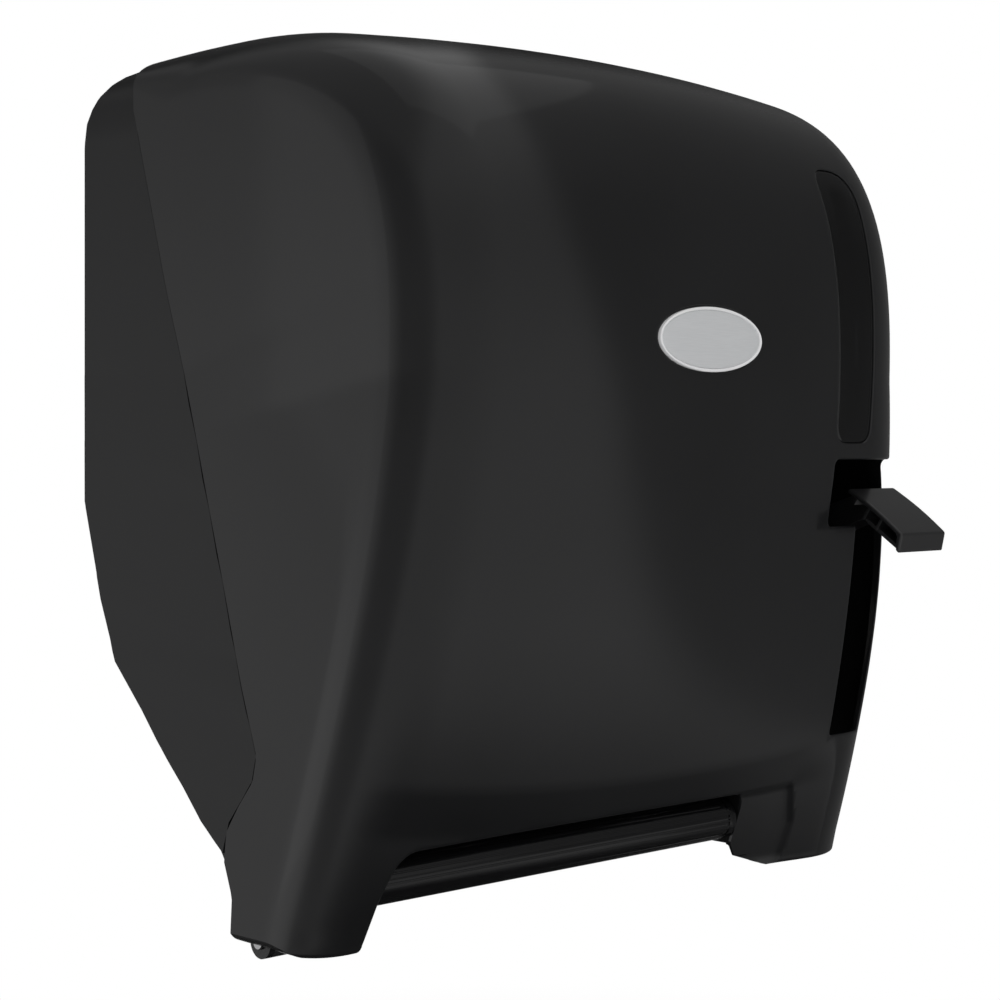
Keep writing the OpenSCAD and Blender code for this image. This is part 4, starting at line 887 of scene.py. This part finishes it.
# Light: an even white studio; what glossy faces mirror in it is dimmer on some sides
studio = {  # direction, where the step starts and ends, and its two levels
    "leftFront": ((-0.97, -0.22, 0), 0.76, 0.99, 0.75, 0.4),
    "left": ((-0.75, 0.66, 0), 0.8, 0.96, 0.45, 0.75),
    "leftTop": ((-0.5, 0.3, 0.81), 0.5, 0.8, 1, 0.55),
    "behind": ((-0.3, 0.95, 0), 0.8, 1.0, 1, 0.45),
    "behindTop": ((0.3, 0.9, 0.3), 0.75, 0.93, 1, 0.1),
    "panelEdge": ((1, 0, 0.11), 0.678, 0.7, 1, 0.28),
    "aboveFront": ((0, 0, 1), -0.1, 0.3, 1.08, 0.82),
    "above": ((0, 0, 1), 0.35, 0.7, 1, 1.3),
}
world = bpy.data.worlds.new("whiteStudio")
bpy.context.scene.world = world
world.use_nodes = True
nodes, links = world.node_tree.nodes, world.node_tree.links
background = nodes["Background"]
place = nodes.new("ShaderNodeTexCoord")
strength = None
for way, start, end, near, far in studio.values():
    toward = nodes.new("ShaderNodeVectorMath")
    toward.operation = "DOT_PRODUCT"
    toward.inputs[1].default_value = way
    links.new(place.outputs["Generated"], toward.inputs[0])
    step = nodes.new("ShaderNodeMapRange")
    step.interpolation_type = "SMOOTHSTEP"
    step.inputs["From Min"].default_value, step.inputs["From Max"].default_value = start, end
    step.inputs["To Min"].default_value, step.inputs["To Max"].default_value = near, far
    links.new(toward.outputs["Value"], step.inputs["Value"])
    if strength is None:
        strength = step.outputs["Result"]
        continue
    times = nodes.new("ShaderNodeMath")
    times.operation = "MULTIPLY"
    links.new(strength, times.inputs[0])
    links.new(step.outputs["Result"], times.inputs[1])
    strength = times.outputs["Value"]
seen = nodes.new("ShaderNodeLightPath")
mirror = nodes.new("ShaderNodeMix")
mirror.data_type = "FLOAT"
mirror.inputs[2].default_value = 0.95
links.new(seen.outputs["Is Glossy Ray"], mirror.inputs[0])
links.new(strength, mirror.inputs[3])
level = nodes.new("ShaderNodeMix")
level.data_type = "FLOAT"
links.new(seen.outputs["Is Camera Ray"], level.inputs[0])
links.new(mirror.outputs[0], level.inputs[2])
level.inputs[3].default_value = 1
links.new(level.outputs[0], background.inputs["Strength"])
background.inputs["Color"].default_value = (1, 1, 1, 1)


def softBox(name, at, toward, size, power):
    lamp = bpy.data.lights.new(name, "AREA")
    lamp.shape = "RECTANGLE"
    lamp.size, lamp.size_y = size
    lamp.energy = power
    box = bpy.data.objects.new(name, lamp)
    bpy.context.scene.collection.objects.link(box)
    box.location = Vector(at)
    box.rotation_euler = (Vector(toward) - Vector(at)).to_track_quat("-Z", "Y").to_euler()
    return box


softBox("overhead", (0.3, -0.2, 1.6), (0, -0.1, 0), (1.6, 1.6), 0.7)
softBox("leftBox", (-1.8, 0.9, 0.2), (0, -0.1, 0), (0.8, 1.6), 0.4)

view = bpy.data.cameras.new("photoView")
view.sensor_width = 36
view.lens = 75.198
view.shift_y = -0.056
camera = bpy.data.objects.new("photoView", view)
bpy.context.scene.collection.objects.link(camera)
camera.location = (-0.69942, -0.84515, -0.05539)
camera.rotation_euler = (math.radians(90), 0, math.radians(-43))
bpy.context.scene.camera = camera
bpy.context.scene.view_settings.view_transform = "Standard"
print("stage, light and camera ready")
